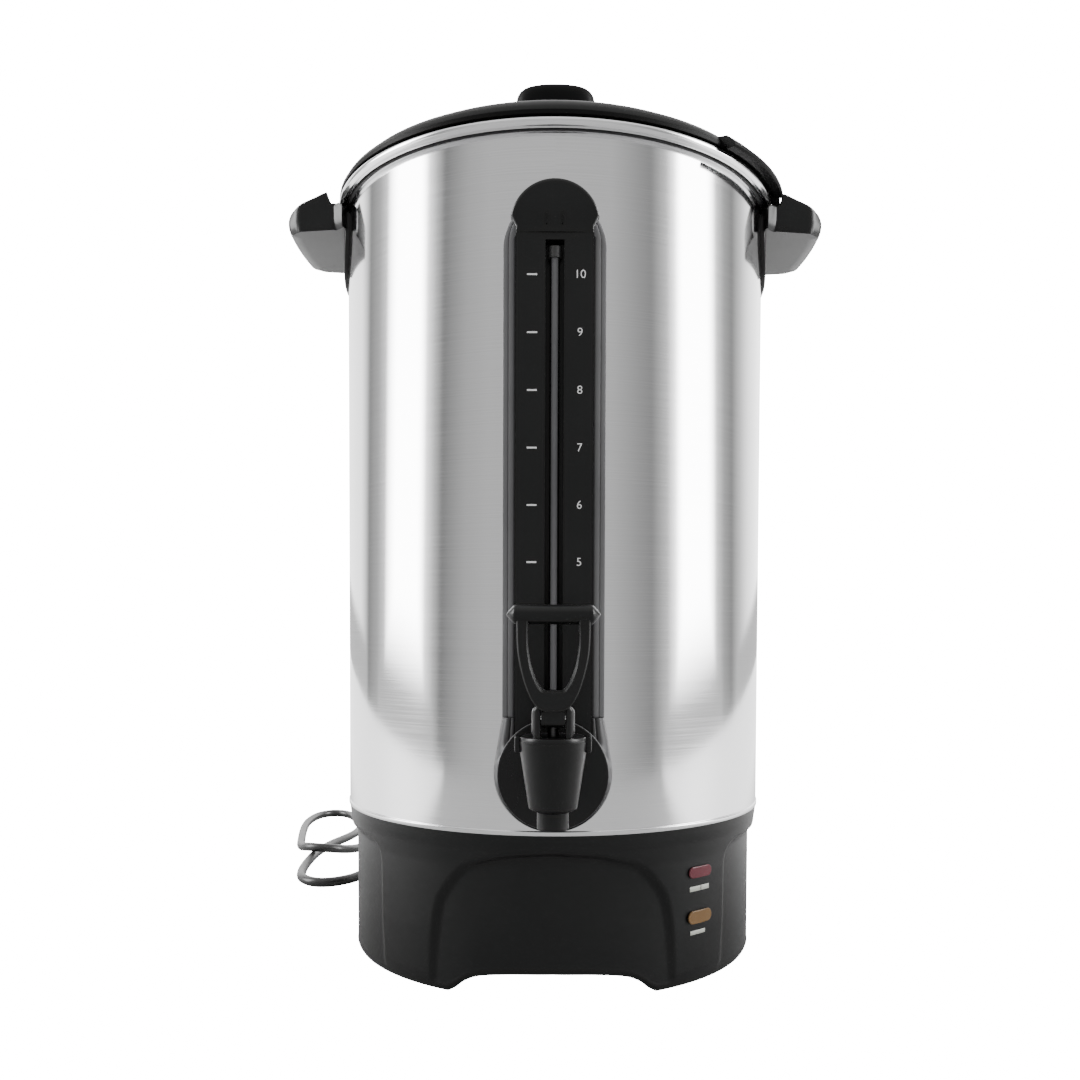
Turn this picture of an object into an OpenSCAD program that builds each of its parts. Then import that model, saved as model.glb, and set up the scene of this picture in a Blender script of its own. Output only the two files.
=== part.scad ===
// Coffee urn: double-wall steel vessel, moulded base, gauge column, self-closing
// tap with a pull loop, twist-lock lid, side handles and percolator set.
// Millimetres. Z is up. The origin is on the floor under the urn's axis.
// The tap and the gauge face -Y.

/* [Drawing] */
// Piece to draw

/* [Walls] */
// Outside radius of the outer shell
shell_r = 115; // [114:0.5:118]
// Sheet thickness of the outer shell
shell_t = 0.5; // [0.4:0.1:0.8]
// Sheet thickness of the inner vessel
vessel_t = 0.5; // [0.4:0.1:0.8]
// Clear gap between the two walls
wall_gap = 2; // [2:0.1:2.6]
// Height of the joint between base and outer shell
base_top = 80; // [78:0.5:84]
// Height of the top edge of both walls
wall_top = 404; // [400:1:420]

/* [Rim] */
// Radius of the rolled bead
bead_r = 2.4; // [2:0.1:2.5]
// Height of the rim's web above the wall edge
rim_h = 3; // [2.6:0.1:3.4]

/* [Base] */
// How far the base's bottom edge stands in from the shell
base_low_in = 6; // [5.2:0.1:6.2]
// How far the base stands in from the shell just above the bottom rounding
base_foot_in = 3; // [2.8:0.1:3.2]
// How far the inside of the base wall stands in from the shell
base_wall_in = 7; // [6.8:0.1:7.6]
// Clearance between the floor and the base's bottom edge
base_lift = 0.8; // [0.6:0.1:1.2]
// How far the front, rear and side recesses stand in from the shell
recess_in = 4.2; // [4:0.1:4.4]
// Half width of the front and rear recess
recess_half = 59; // [57:0.5:60]
// Top of the front and rear recess
recess_top = 71.2; // [69:0.2:72]
// Top of the side recesses
side_top = 68.5; // [64:0.5:70]
// Half width of the side recesses
side_half = 72; // [68:0.5:74]
// Corner radius of the side recesses
side_round = 12; // [8:0.5:16]
// Height of the cut-out under the front edge
cut_h = 12.8; // [9:0.2:13]
// Half width of the cut-out under the front edge
cut_half = 53; // [50:0.5:54]
// Thickness of the bottom plate
plate_t = 1.2; // [0.8:0.1:1.6]
// Underside of the bottom plate
plate_z = 14; // [13.6:0.1:14.4]
// Height of a rubber foot
foot_h = 2.5; // [2.2:0.1:2.9]
// Radius of a rubber foot
foot_r = 6.5; // [5.5:0.1:6.8]
// How far the feet stand in from the shell
foot_in = 14; // [13.8:0.1:14.4]
// Angle of each foot from the front or the rear
foot_az = 38; // [36:0.5:41]

/* [Pilot lamps] */
// Angle of the lamps, right of the front
lamp_az = 39.7; // [38:0.1:41]
// Height of the red lamp
red_z = 57.2; // [55:0.2:60]
// Length of the red lens
red_w = 16; // [14:0.2:17]
// Height of the red lens
red_h = 5.7; // [5.6:0.1:6.2]
// Height of the amber lamp
amber_z = 35; // [33:0.2:40]
// Length of the amber lens
amber_w = 16.5; // [14:0.2:17]
// Height of the amber lens
amber_h = 6.5; // [5.5:0.1:7]

/* [Heater] */
// Radius of the spreader plate
heater_r = 80; // [76:0.5:84]
// Radius of the heating ring's centre line
element_r = 62; // [54:0.5:66]
// Radius of the heating tube
element_tube_r = 4; // [3.5:0.1:4.2]

/* [Gauge] */
// Half width of the gauge frame
frame_half = 23.4; // [22.6:0.1:23.4]
// Half width of the gauge panel
panel_half = 17.5; // [17:0.1:17.8]
// Front of the frame, out from the shell
frame_out = 4.5; // [4:0.1:4.8]
// Front of the panel, out from the shell
panel_out = 8; // [7.8:0.1:8.2]
// Front of the cap, out from the shell
cap_out = 8.8; // [8.6:0.1:9.6]
// Centre of the frame's arch
frame_arch_z = 348; // [346:0.5:349]
// Centre of the panel's arch
panel_arch_z = 352; // [350:0.5:353]
// Centre of the cap's arch
cap_arch_z = 356.1; // [355.4:0.1:357]
// Radius of the cap's arch
cap_r = 20.3; // [20:0.1:21]
// Lower edge of the cap
cap_low_z = 355; // [354:0.2:355]
// Width of the trough for the sight tube
trough_w = 8.5; // [7.6:0.1:9.5]
// Lower end of the trough
trough_low_z = 148.5; // [145:0.5:152]
// Upper end of the trough
trough_high_z = 350.3; // [349.4:0.1:352]
// Outside radius of the sight tube
tube_r = 2.2; // [2.1:0.05:2.3]
// Bore radius of the sight tube
tube_bore_r = 1.6; // [1.4:0.05:1.7]
// Upper end of the sight tube
tube_high_z = 342.8; // [338:0.2:343]

/* [Tap mounting] */
// Height of the tap's shank
tap_z = 110; // [109.8:0.1:110.4]
// Radius of the round skirt
skirt_r = 27.3; // [26.8:0.1:27.4]
// Height of the joint between skirt and gauge frame
skirt_joint_z = 135.7; // [135.7:0.1:136.4]
// Radius of the black flange
flange_r = 25.3; // [24.4:0.1:25.4]
// Thickness of the black flange
flange_t = 1.5; // [1.2:0.1:1.8]
// Radius of the tap's shank
shank_r = 8; // [7.8:0.1:8.1]
// Radius of the water way in the shank
shank_bore_r = 4.5; // [4:0.1:5]
// Width of the shank nut across flats
nut_af = 22; // [20:0.5:24]

/* [Tap] */
// Distance of the tap's axis from the shell
tap_out = 38; // [37.6:0.1:40]
// Outside radius of the spout
spout_r = 6.8; // [6.4:0.1:7.2]
// Bore radius of the spout
spout_bore_r = 4.8; // [4.4:0.1:5]
// Lower end of the spout
spout_z = 91.5; // [90:0.5:93]
// Upper edge of the tap's body
body_top_z = 129; // [128.8:0.1:129.4]
// Radius of the body at its upper edge
body_top_r = 14.8; // [14:0.1:15.4]
// Radius of the body just above the spout
body_low_r = 10.6; // [10.2:0.1:11.2]
// Radius of the valve chamber
chamber_r = 8.5; // [8.2:0.1:8.8]
// Radius of the valve stem
stem_r = 2.4; // [2.2:0.05:2.6]
// Radius of the seat cup
cup_r = 6.4; // [6:0.1:6.8]
// Wire radius of the closing spring
spring_wire_r = 0.45; // [0.35:0.05:0.55]
// Turns of the closing spring
spring_turns = 5; // [4:1:5]

/* [Tap lever] */
// Distance of the lever's pivot in front of the stem
pivot_ahead = 6; // [5.8:0.1:6.2]
// Height of the pivot above the tap's body
pivot_up = 10; // [9.8:0.1:10.2]
// Radius of the lever pin
pin_r = 1.2; // [1:0.05:1.3]
// Half width of the bonnet's neck
neck_half = 9.1; // [8.8:0.1:9.6]
// Half width of the lever's eye
eye_half = 5; // [4.6:0.1:5.2]
// Half length of the pull bar
bar_half = 19.2; // [18:0.2:20]
// Radius of the pull bar
bar_r = 4.05; // [3.8:0.05:4.3]
// Height of the pull bar's centre
bar_z = 182.2; // [180:0.2:184]

/* [Handles] */
// Reach of a handle from the shell
handle_reach = 30; // [28:0.5:31]
// Half width of a handle beside the shell
handle_half = 35.4; // [34.6:0.1:35.8]
// Half width of a handle at its outer corners
handle_tip_half = 29.8; // [29:0.1:31]
// Height of a handle below the wall's top edge
handle_drop = 15; // [14:0.2:16]
// Height of a handle's ridge above the wall's top edge
handle_rise = 5.9; // [5:0.1:6.5]
// Half width of the plate behind a handle
mount_half = 36; // [35.8:0.1:37]
// Depth of the plate below the handle
mount_drop = 30; // [24:0.5:34]
// Radius of the handle screws
screw_r = 2; // [1.8:0.1:2.1]

/* [Lid] */
// Overhang of the lid past the shell
lid_over = 4.6; // [4.2:0.1:4.8]
// Rise of the dome from its edge to its middle
dome_rise = 21; // [18:0.5:23]
// Thickness of the lid's wall
lid_t = 2.2; // [1.8:0.1:2.6]
// Depth of the skirt below the wall's top edge
lid_skirt_drop = 6; // [4:0.5:8]
// Overhang of the locking wings past the lid
wing_over = 6.9; // [6.5:0.1:7.2]
// Angle of a wing's free end from the front
wing_az = 41; // [38:0.5:50]
// Half length of the knob
knob_half = 21.3; // [20:0.1:23]
// Half depth of the knob
knob_deep = 9.5; // [9:0.1:11]
// Height of the knob's head
knob_h = 28; // [26:0.2:30]
// Radius of the knob's foot
knob_foot_r = 12; // [11:0.5:14]

/* [Percolator] */
// Outside radius of the pump tube
pump_r = 6; // [5:0.5:7]
// Radius of the coffee basket
basket_r = 78; // [60:1:84]
// Depth of the coffee basket
basket_h = 56; // [40:1:58]
// Height of the coffee basket's floor above the base joint
basket_up = 258; // [250:1:260]

/* [Mains lead] */
// Radius of the lead
cord_r = 3.25; // [3:0.05:3.4]
// Height at which the lead leaves the base
cord_exit_z = 24; // [23:0.5:30]
// Angle of the lead's outlet, anticlockwise from +X
cord_az = 126; // [124:0.5:128]

/* [Hidden] */
$fn = 96;
// General fits
e = 0.01;
big = 400;
touch = 0.05;
run = 0.05;
fit = 0.1;
loose = 0.3;
// Colours
c_steel = [0.78, 0.78, 0.79];
c_black = [0.06, 0.06, 0.07];
c_grey = [0.25, 0.25, 0.26];
c_base = [0.09, 0.09, 0.10];
c_brass = [0.72, 0.60, 0.35];
c_rubber = [0.04, 0.04, 0.04];
// Walls
shell_in_r = shell_r - shell_t;
vessel_out_r = shell_in_r - wall_gap;
vessel_r = vessel_out_r - vessel_t;
hem_h = 2;
hem_t = 0.5;
vessel_bottom = base_top - 2;
vessel_floor = vessel_bottom + 1;
hole_r = shank_r + loose;
rim_top = wall_top + rim_h;
bead_c = shell_r + bead_r + 0.2;
bead_z = wall_top + rim_h - bead_r;
// Base
base_low_r = shell_r - base_low_in;
base_foot_r = shell_r - base_foot_in;
base_in_r = shell_r - base_wall_in;
recess_r = shell_r - recess_in;
foot_place_r = shell_r - foot_in;
ledge_t = 3;
ledge_r = base_in_r - 10;
ledge_z = vessel_bottom - ledge_t;
spigot_r = shell_in_r - 0.2;
spigot_in_r = vessel_out_r + 0.2;
spigot_h = 6;
boss_r = 5;
boss_place_r = base_in_r - boss_r - 3;
foot_boss_r = 8;
peg_r = 2;
peg_h = 5.5;
plate_r = base_in_r - 2.5;
plate_top = plate_z + plate_t;
base_screw_r = 1.8;
stud_r = 2;
stud_place_r = base_in_r - 5;
stud_len = 12;
nut_t = 3.2;
stud_nut_af = 7;
stud_angles = [45, 165, 285];
// Pilot lamps
lens_lap = 1;
lens_t = 0.9;
lens_r = base_foot_r + 1.6;
// Gauge column, all in distances from the urn's axis along -Y
frame_y = shell_r + frame_out;
panel_y = shell_r + panel_out;
cap_y = shell_r + cap_out;
trough_y = panel_y - 6.6;
tube_y = panel_y - 3.4;
tube_low_z = tap_z + 9;
skirt_bend = atan2(skirt_joint_z - tap_z, frame_half);
skirt_reach = norm([frame_half, skirt_joint_z - tap_z]);
skirt_tangent = skirt_bend - acos(skirt_r / skirt_reach);
flange_y = panel_y + flange_t;
banjo_r = 13;
banjo_back_y = shell_r + 1.2;
socket_r = 3.4;
socket_bore_r = 2.9;
socket_top_z = tap_z + 20;
seal_r = socket_bore_r - run;
seal_bore_r = tube_r + run;
washer_r = 12;
nut_y = vessel_r - 2.5;
nut_h = 6;
// Tap
tap_y = shell_r + tap_out;
seat_z = spout_z + 12.7;
chamber_z = seat_z - 1.7;
cup_z = seat_z + 0.2;
cup_h = 6.2;
collar_z = cup_z + cup_h;
collar_t = 1.4;
spigot_low_z = body_top_z - 7;
bonnet_top_z = body_top_z + 2;
pivot_y = tap_y + pivot_ahead;
pivot_z = body_top_z + pivot_up;
channel_half = eye_half + 0.2;
channel_z = pivot_z - 4.5;
ear_r = 5.5;
tine_r = 1.2;
neck_r = 1.8;
neck_z = pivot_z - 3;
head_z = pivot_z + tine_r + loose;
spring_r = stem_r + 1.8;
loop_back_y = pivot_y + 6.2;
loop_front_y = pivot_y + 12.5;
loop_low_z = pivot_z + 3;
bar_y = (loop_back_y + loop_front_y) / 2;
// Lid edge and wings
lid_r = shell_r + lid_over;
wing_r = lid_r + wing_over;
// Handles
handle_low = wall_top - handle_drop;
handle_high = wall_top + handle_rise;
handle_out = shell_r + handle_reach;
handle_bulge_r = 128;
flare_in = 2.5;
handle_foot_half = handle_half - 3.4;
end_slope = (handle_half - handle_tip_half - 0.7) / (handle_reach - 9.5);
collar_r = shell_r + 2.8;
notch_z = wall_top - 0.7;
notch_r = wing_r - 1.1;
screw_z = wall_top - 7.5;
screw_az = 7;
// Lid
seal_t = 1.2;
lid_flange_z = rim_top + seal_t;
lid_lip_z = rim_top + 0.5;
skirt_out_r = vessel_r - 1.4;
dome_edge_r = lid_r - 12.6;
dome_edge_z = rim_top + 12.8;
dome_r = (dome_edge_r * dome_edge_r + dome_rise * dome_rise) / (2 * dome_rise);
knob_low_z = dome_edge_z + dome_rise + 11;
knob_top = knob_low_z + knob_h;
knob_bow_r = 50;
wing_gap = 0.4;
wing_in = shell_r / 2;
wing_tip = [sin(wing_az), -cos(wing_az)];
tongue_long = 15;
tongue_r = notch_r - 0.8;
// Percolator
basket_z = base_top + basket_up;
pump_foot_r = pump_r + 14;
pump_lip = 4;
pump_cone = 12;
pump_wall = 1;
// Mains lead
strain_len = 30;
cord_slack = 0.6;

// ---------- shared shapes ----------

// A place at the front, d out from the urn's axis, at height z, facing the front
module at_front(d, z) translate([0, -d, z]) rotate([90, 0, 0]) children();

// A flat outline in X and Z drawn from d0 to d1 in front of the urn's axis
module front_slab(d0, d1) translate([0, -d0, 0]) rotate([90, 0, 0])
    linear_extrude(d1 - d0) children();

// A place on a circle about the urn's axis
module around(angle, r, z) rotate([0, 0, angle]) translate([r, 0, z]) children();

// A tube standing on z
module pipe(r_out, r_in, h) difference() {
    cylinder(r = r_out, h = h);
    translate([0, 0, -e]) cylinder(r = r_in, h = h + 2 * e);
}

// A flat bar with round ends
module slot_2d(w, h) {
    square([w - h, h], center = true);
    for (s = [-1, 1]) translate([s * (w - h) / 2, 0]) circle(d = h, $fn = 48);
}

// An arch-topped outline, standing on z_low
module arch_2d(half, z_low, z_arch) {
    translate([-half, z_low]) square([2 * half, z_arch - z_low]);
    translate([0, z_arch]) circle(r = half);
}

// A hexagon across its flats
module hexagon(af, h) cylinder(d = af / cos(30), h = h, $fn = 6);

// A right-angled outline from a list, drawn with its mirror image
module mirrored(pts) polygon(concat(pts, [for (i = [len(pts) - 1:-1:0]) [-pts[i][0], pts[i][1]]]));

// ---------- walls ----------

module outer_shell() color(c_steel) difference() {
    rotate_extrude($fn = 180) polygon([
        [shell_in_r, base_top], [shell_r + hem_t, base_top], [shell_r + hem_t, base_top + hem_h],
        [shell_r, base_top + hem_h], [shell_r, wall_top], [shell_in_r, wall_top]]);
    at_front(shell_in_r - 3, tap_z) cylinder(r = hole_r, h = 8);
    handle_screw_places() cylinder(r = screw_r + 0.2, h = 40);
}

module inner_vessel() color(c_steel) difference() {
    rotate_extrude($fn = 180) polygon([
        [0, vessel_bottom], [vessel_out_r, vessel_bottom], [vessel_out_r, wall_top],
        [vessel_r, wall_top], [vessel_r, vessel_floor], [0, vessel_floor]]);
    at_front(vessel_r - 4, tap_z) cylinder(r = hole_r, h = 8);
}

module rim_ring() color(c_steel) rotate_extrude($fn = 180) {
    translate([bead_c, bead_z]) circle(r = bead_r, $fn = 40);
    translate([vessel_r, wall_top]) square([bead_c - vessel_r, rim_h]);
}

// ---------- base ----------

module base_section() polygon([
    [base_low_r, base_lift], [base_low_r + 1, base_lift + 1.2], [base_foot_r, 8],
    [base_foot_r + 1, 30], [base_foot_r + 1.4, base_top - 16], [shell_r - 0.4, base_top - 4],
    [shell_r, base_top], [spigot_r, base_top], [spigot_r, base_top + spigot_h],
    [spigot_in_r, base_top + spigot_h], [spigot_in_r, vessel_bottom], [ledge_r, vessel_bottom],
    [ledge_r, ledge_z], [base_in_r, ledge_z], [base_in_r, base_lift]]);

// The arched field pressed into the front and the rear of the base
module recess_2d() mirrored([
    [0, recess_top], [recess_half * 0.37, recess_top - 1.7], [recess_half * 0.71, recess_top - 6.9],
    [recess_half * 0.84, recess_top - 15.2], [recess_half * 0.94, recess_top - 25.2],
    [recess_half * 0.98, recess_top - 39.2], [recess_half, recess_top - 58.2], [recess_half, 0]]);

// The shallow arch that lifts the front and rear edge off the floor
module cut_2d() mirrored([
    [0, cut_h], [cut_half * 0.38, cut_h - 0.8], [cut_half * 0.72, cut_h - 3.3],
    [cut_half * 0.84, cut_h * 0.5], [cut_half * 0.92, cut_h * 0.25], [cut_half, base_lift],
    [cut_half, -1]]);

module side_recess_2d() {
    translate([-side_half, foot_h]) square([2 * side_half, side_top - foot_h - side_round]);
    translate([-side_half + side_round, foot_h])
        square([2 * (side_half - side_round), side_top - foot_h]);
    for (s = [-1, 1]) translate([s * (side_half - side_round), side_top - side_round])
        circle(r = side_round);
}

// The turned wall with the lamp windows and the lead's outlet
module base_wall() difference() {
    rotate_extrude($fn = 180) base_section();
    lamp_place(red_z) linear_extrude(20, center = true)
        slot_2d(red_w - 2 * lens_lap, red_h - 2 * lens_lap);
    lamp_place(amber_z) linear_extrude(20, center = true)
        slot_2d(amber_w - 2 * lens_lap, amber_h - 2 * lens_lap);
    rotate([0, 0, cord_az]) translate([base_in_r - 8, 0, cord_exit_z]) rotate([0, 90, 0])
        cylinder(r = 6.2, h = 20);
}

module base_housing() color(c_base) difference() {
    union() {
        base_wall();
        foot_places() translate([0, 0, foot_h]) cylinder(r = foot_boss_r, h = plate_z - foot_h);
        boss_places() translate([0, 0, plate_top]) cylinder(r = boss_r, h = ledge_z + 1 - plate_top);
    }
    difference() {
        union() {
            translate([0, shell_r + 10, 0]) rotate([90, 0, 0])
                linear_extrude(2 * shell_r + 20) recess_2d();
            translate([-shell_r - 10, 0, 0]) rotate([90, 0, 90])
                linear_extrude(2 * shell_r + 20) side_recess_2d();
        }
        translate([0, 0, -5]) cylinder(r = recess_r, h = base_top + 10, $fn = 180);
    }
    translate([0, shell_r + 10, 0]) rotate([90, 0, 0]) linear_extrude(2 * shell_r + 20) cut_2d();
    foot_places() translate([0, 0, foot_h - 1]) cylinder(r = peg_r + touch, h = peg_h + 1.2);
    boss_places() translate([0, 0, plate_top - 1]) cylinder(r = base_screw_r + touch, h = 13);
    stud_places() translate([0, 0, ledge_z - 1]) cylinder(r = stud_r + loose, h = 6);
}

module foot_places() for (a = [-90 - foot_az, -90 + foot_az, 90 - foot_az, 90 + foot_az])
    around(a, foot_place_r, 0) children();

module boss_places() for (a = [0:90:270]) around(a, boss_place_r, 0) children();

module stud_places() for (a = stud_angles) around(a, stud_place_r, 0) children();

module lamp_place(z) rotate([0, 0, lamp_az]) at_front(base_in_r + 4, z) children();

module rubber_feet() color(c_rubber) foot_places() {
    cylinder(r = foot_r, h = foot_h);
    translate([0, 0, foot_h - 0.5]) cylinder(r = peg_r, h = peg_h + 0.5);
}

module bottom_plate() color(c_steel) difference() {
    translate([0, 0, plate_z]) cylinder(r = plate_r, h = plate_t, $fn = 180);
    boss_places() translate([0, 0, plate_z - 1]) cylinder(r = base_screw_r + 0.3, h = 4);
    for (r = [40, 56, 72], a = [0:30:330]) rotate([0, 0, a]) translate([r, 0, plate_z - 1])
        linear_extrude(4) slot_2d(10, 3);
}

module base_screws() color(c_steel) boss_places() {
    translate([0, 0, plate_z - 2]) cylinder(r = 3.5, h = 2);
    translate([0, 0, plate_z - 1]) cylinder(r = base_screw_r, h = 12);
}

module vessel_studs() color(c_steel) stud_places()
    translate([0, 0, vessel_bottom - stud_len]) cylinder(r = stud_r, h = stud_len);

module stud_nuts() color(c_steel) stud_places() translate([0, 0, ledge_z - nut_t]) difference() {
    hexagon(stud_nut_af, nut_t);
    translate([0, 0, -1]) cylinder(r = stud_r + run, h = nut_t + 2);
}

module heater_plate() color(c_steel)
    translate([0, 0, ledge_z]) cylinder(r = heater_r, h = ledge_t, $fn = 128);

module heater_tube() color([0.35, 0.33, 0.31]) {
    rotate([0, 0, 110]) rotate_extrude(angle = 320)
        translate([element_r, ledge_z - element_tube_r]) circle(r = element_tube_r, $fn = 32);
    for (a = [110, 430]) around(a, element_r, ledge_z - 2 * element_tube_r - 5)
        cylinder(r = 2, h = element_tube_r + 5);
}

// A round snap switch held flat under the spreader plate
module snap_switch() translate([0, 0, ledge_z - 6]) {
    cylinder(r = 9, h = 6);
    translate([0, 0, -3]) cylinder(r = 7.5, h = 3);
    for (s = [-1, 1]) translate([s * 5 - 0.4, -3, -9]) cube([0.8, 6, 6.5]);
}

module thermostat() color(c_black) translate([25, 0, 0]) snap_switch();

module thermal_cutout() color(c_black) translate([-25, 0, 0]) snap_switch();

module terminal_block() color([0.8, 0.78, 0.7]) difference() {
    translate([-20, 45, plate_top]) cube([40, 18, 14]);
    for (x = [-12, 0, 12]) translate([x, 54, plate_top + 6]) cylinder(r = 2, h = 10);
}

// A lens standing proud of the base wall with its body clipped through the window
module lamp(z, w, h) intersection() {
    union() {
        lamp_place(z) translate([0, 0, -5.2]) linear_extrude(13)
            slot_2d(w - 2 * lens_lap - 2 * fit, h - 2 * lens_lap - 2 * fit);
        difference() {
            lamp_place(z) linear_extrude(12) slot_2d(w, h);
            cylinder(r = lens_r, h = 200, $fn = 180);
        }
    }
    cylinder(r = lens_r + lens_t, h = 200, $fn = 180);
}

module red_lamp() color([0.75, 0.08, 0.05]) lamp(red_z, red_w, red_h);

module amber_lamp() color([0.85, 0.5, 0.1]) lamp(amber_z, amber_w, amber_h);

// ---------- handles ----------

module handle_screw_places() for (side = [0, 180], a = [-screw_az, screw_az])
    rotate([0, 0, side + a]) translate([vessel_out_r + 0.5, 0, screw_z]) rotate([0, 90, 0]) children();

// Flared ends with a hollow corner at the shell and a slightly bowed outer face
module handle_plan() intersection() {
    for (s = [-1, 1]) scale([1, s]) polygon([
        [shell_r - 10, e], [shell_r - 10, -handle_foot_half], [shell_r - 1, -handle_foot_half],
        [shell_r + flare_in, -handle_half], [handle_out - 7, -handle_tip_half - 0.7],
        [handle_out - 4.6, -handle_tip_half + 0.4], [handle_out - 3.4, -handle_tip_half + 2.6],
        [handle_out + 1, -handle_tip_half + 10], [handle_out + 1, e]]);
    translate([handle_out - handle_bulge_r, 0]) circle(r = handle_bulge_r, $fn = 256);
}

module handle_side_2d() polygon([
    [shell_r - 12, handle_low], [handle_out - 5, handle_low], [handle_out, wall_top - 5],
    [handle_out, wall_top - 3.6], [handle_out - 3.5, wall_top - 2.2],
    [notch_r - 4.3, handle_high], [shell_r - 12, handle_high]]);

module mount_2d() mirrored([
    [0, -mount_drop], [mount_half * 0.33, -mount_drop * 0.95], [mount_half * 0.62, -mount_drop * 0.8],
    [mount_half * 0.86, -mount_drop * 0.48], [mount_half, -2], [mount_half, 11]]);

module handle() difference() {
    union() {
        intersection() {
            translate([0, 0, handle_low - 1]) linear_extrude(40) handle_plan();
            translate([0, big / 2, 0]) rotate([90, 0, 0]) linear_extrude(big) handle_side_2d();
        }
        intersection() {
            translate([0, 0, handle_low - 40]) pipe(collar_r, shell_r, 80, $fn = 180);
            translate([shell_r - 20, 0, handle_low]) rotate([90, 0, 90])
                linear_extrude(40) mount_2d();
        }
    }
    translate([0, 0, notch_z]) cylinder(r = notch_r, h = 40, $fn = 180);
    translate([0, 0, wall_top - 2.2]) cylinder(r = bead_c + bead_r + 0.4, h = 40, $fn = 180);
    cylinder(r = shell_r + touch, h = big * 2, $fn = 180);
    handle_screw_places() cylinder(r = screw_r + touch, h = 14);
}

module handle_right() color(c_black) handle();

module handle_left() color(c_black) rotate([0, 0, 180]) handle();

module handle_screws() color(c_steel) handle_screw_places() {
    cylinder(r = 3.4, h = wall_gap - 0.7, $fn = 32);
    cylinder(r = screw_r, h = 12);
}

// ---------- gauge column ----------

module frame_2d(g) arch_2d(frame_half + g, skirt_joint_z, frame_arch_z);

module panel_2d(g) arch_2d(panel_half + g, tap_z + 10, panel_arch_z);

module gauge_frame() color(c_grey) difference() {
    front_slab(shell_r - 8, frame_y) difference() {
        frame_2d(0);
        panel_2d(0.2);
    }
    cylinder(r = shell_r + touch, h = big, $fn = 180);
}

module gauge_panel() color([0.16, 0.16, 0.17]) difference() {
    front_slab(shell_r - 8, panel_y) difference() {
        panel_2d(0);
        translate([0, tap_z]) circle(r = flange_r + 0.2);
    }
    cylinder(r = shell_r + touch, h = big, $fn = 180);
    translate([-big, -big, cap_low_z - touch]) cube(2 * big);
    front_slab(trough_y, panel_y + 1) translate([-trough_w / 2, trough_low_z])
        square([trough_w, trough_high_z - trough_low_z]);
    translate([0, -tube_y, tap_z]) cylinder(r = tube_r + loose, h = trough_low_z - tap_z + 1);
}

module cap_2d() intersection() {
    translate([0, cap_arch_z]) circle(r = cap_r);
    mirrored([[0, cap_low_z], [cap_r - 2.5, cap_low_z], [cap_r - 0.5, cap_low_z + 5.6],
        [cap_r - 0.5, cap_arch_z + cap_r]]);
}

module gauge_cap() color(c_black) difference() {
    union() {
        front_slab(shell_r - 6, cap_y - 0.8) cap_2d();
        front_slab(cap_y - 0.8 - e, cap_y) offset(delta = -0.8) cap_2d();
    }
    cylinder(r = shell_r + touch, h = big * 2, $fn = 180);
    front_slab(shell_r - 8, frame_y + fit) difference() {
        frame_2d(fit);
        panel_2d(fit);
    }
}

module tap_skirt() color(c_grey) difference() {
    front_slab(shell_r - 8, panel_y) {
        translate([0, tap_z]) circle(r = skirt_r);
        mirrored([
            [0, tap_z], [skirt_r * cos(skirt_tangent), tap_z + skirt_r * sin(skirt_tangent)],
            [frame_half, skirt_joint_z]]);
    }
    cylinder(r = shell_r + touch, h = big, $fn = 180);
    front_slab(shell_r - 9, panel_y + 1) {
        translate([0, tap_z]) circle(r = 22);
        translate([-panel_half - 0.2, tap_z]) square([2 * panel_half + 0.4, 60]);
    }
}

module tap_flange() color(c_black) at_front(panel_y, tap_z) pipe(flange_r, shank_r + fit, flange_t);

module gauge_banjo() color(c_brass) difference() {
    union() {
        at_front(banjo_back_y, tap_z) cylinder(r = banjo_r, h = panel_y - banjo_back_y);
        translate([0, -tube_y, tap_z + 9]) cylinder(r = socket_r, h = socket_top_z - tap_z - 9);
    }
    at_front(banjo_back_y - 1, tap_z) cylinder(r = shank_r + run, h = 20);
    translate([0, -tube_y, tube_low_z]) cylinder(r = socket_bore_r, h = 30);
    translate([0, -tube_y, tap_z]) cylinder(r = tube_bore_r, h = 30);
}

module sight_tube() color([0.85, 0.9, 0.92, 0.5])
    translate([0, -tube_y, tube_low_z]) pipe(tube_r, tube_bore_r, tube_high_z - tube_low_z);

module tube_top_seal() color(c_rubber) translate([0, -tube_y, tube_high_z]) {
    cylinder(r = tube_y - trough_y, h = 4.9);
    translate([0, 0, -4]) cylinder(r = tube_bore_r - run, h = 4.5);
}

module tube_bottom_seal() color(c_rubber)
    translate([0, -tube_y, tube_low_z]) pipe(seal_r, seal_bore_r, socket_top_z - tube_low_z - 1);

// Three washers: outside the shell, between the walls and inside the vessel
module tap_washers() color(c_rubber) {
    difference() {
        at_front(shell_r - 6, tap_z) pipe(washer_r, shank_r + fit, banjo_back_y - shell_r + 6);
        cylinder(r = shell_r + touch, h = big, $fn = 180);
    }
    intersection() {
        at_front(shell_r - 12, tap_z) pipe(washer_r, shank_r + fit, 20);
        difference() {
            cylinder(r = shell_in_r - touch, h = big, $fn = 180);
            translate([0, 0, -1]) cylinder(r = vessel_out_r + touch, h = big + 2, $fn = 180);
        }
    }
    intersection() {
        at_front(nut_y, tap_z) pipe(washer_r, shank_r + fit, 20);
        cylinder(r = vessel_r - touch, h = big, $fn = 180);
    }
}

module tap_nut() color(c_steel) at_front(nut_y - nut_h, tap_z) difference() {
    hexagon(nut_af, nut_h);
    translate([0, 0, -1]) cylinder(r = shank_r + run, h = nut_h + 2);
}

// ---------- tap ----------

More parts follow.
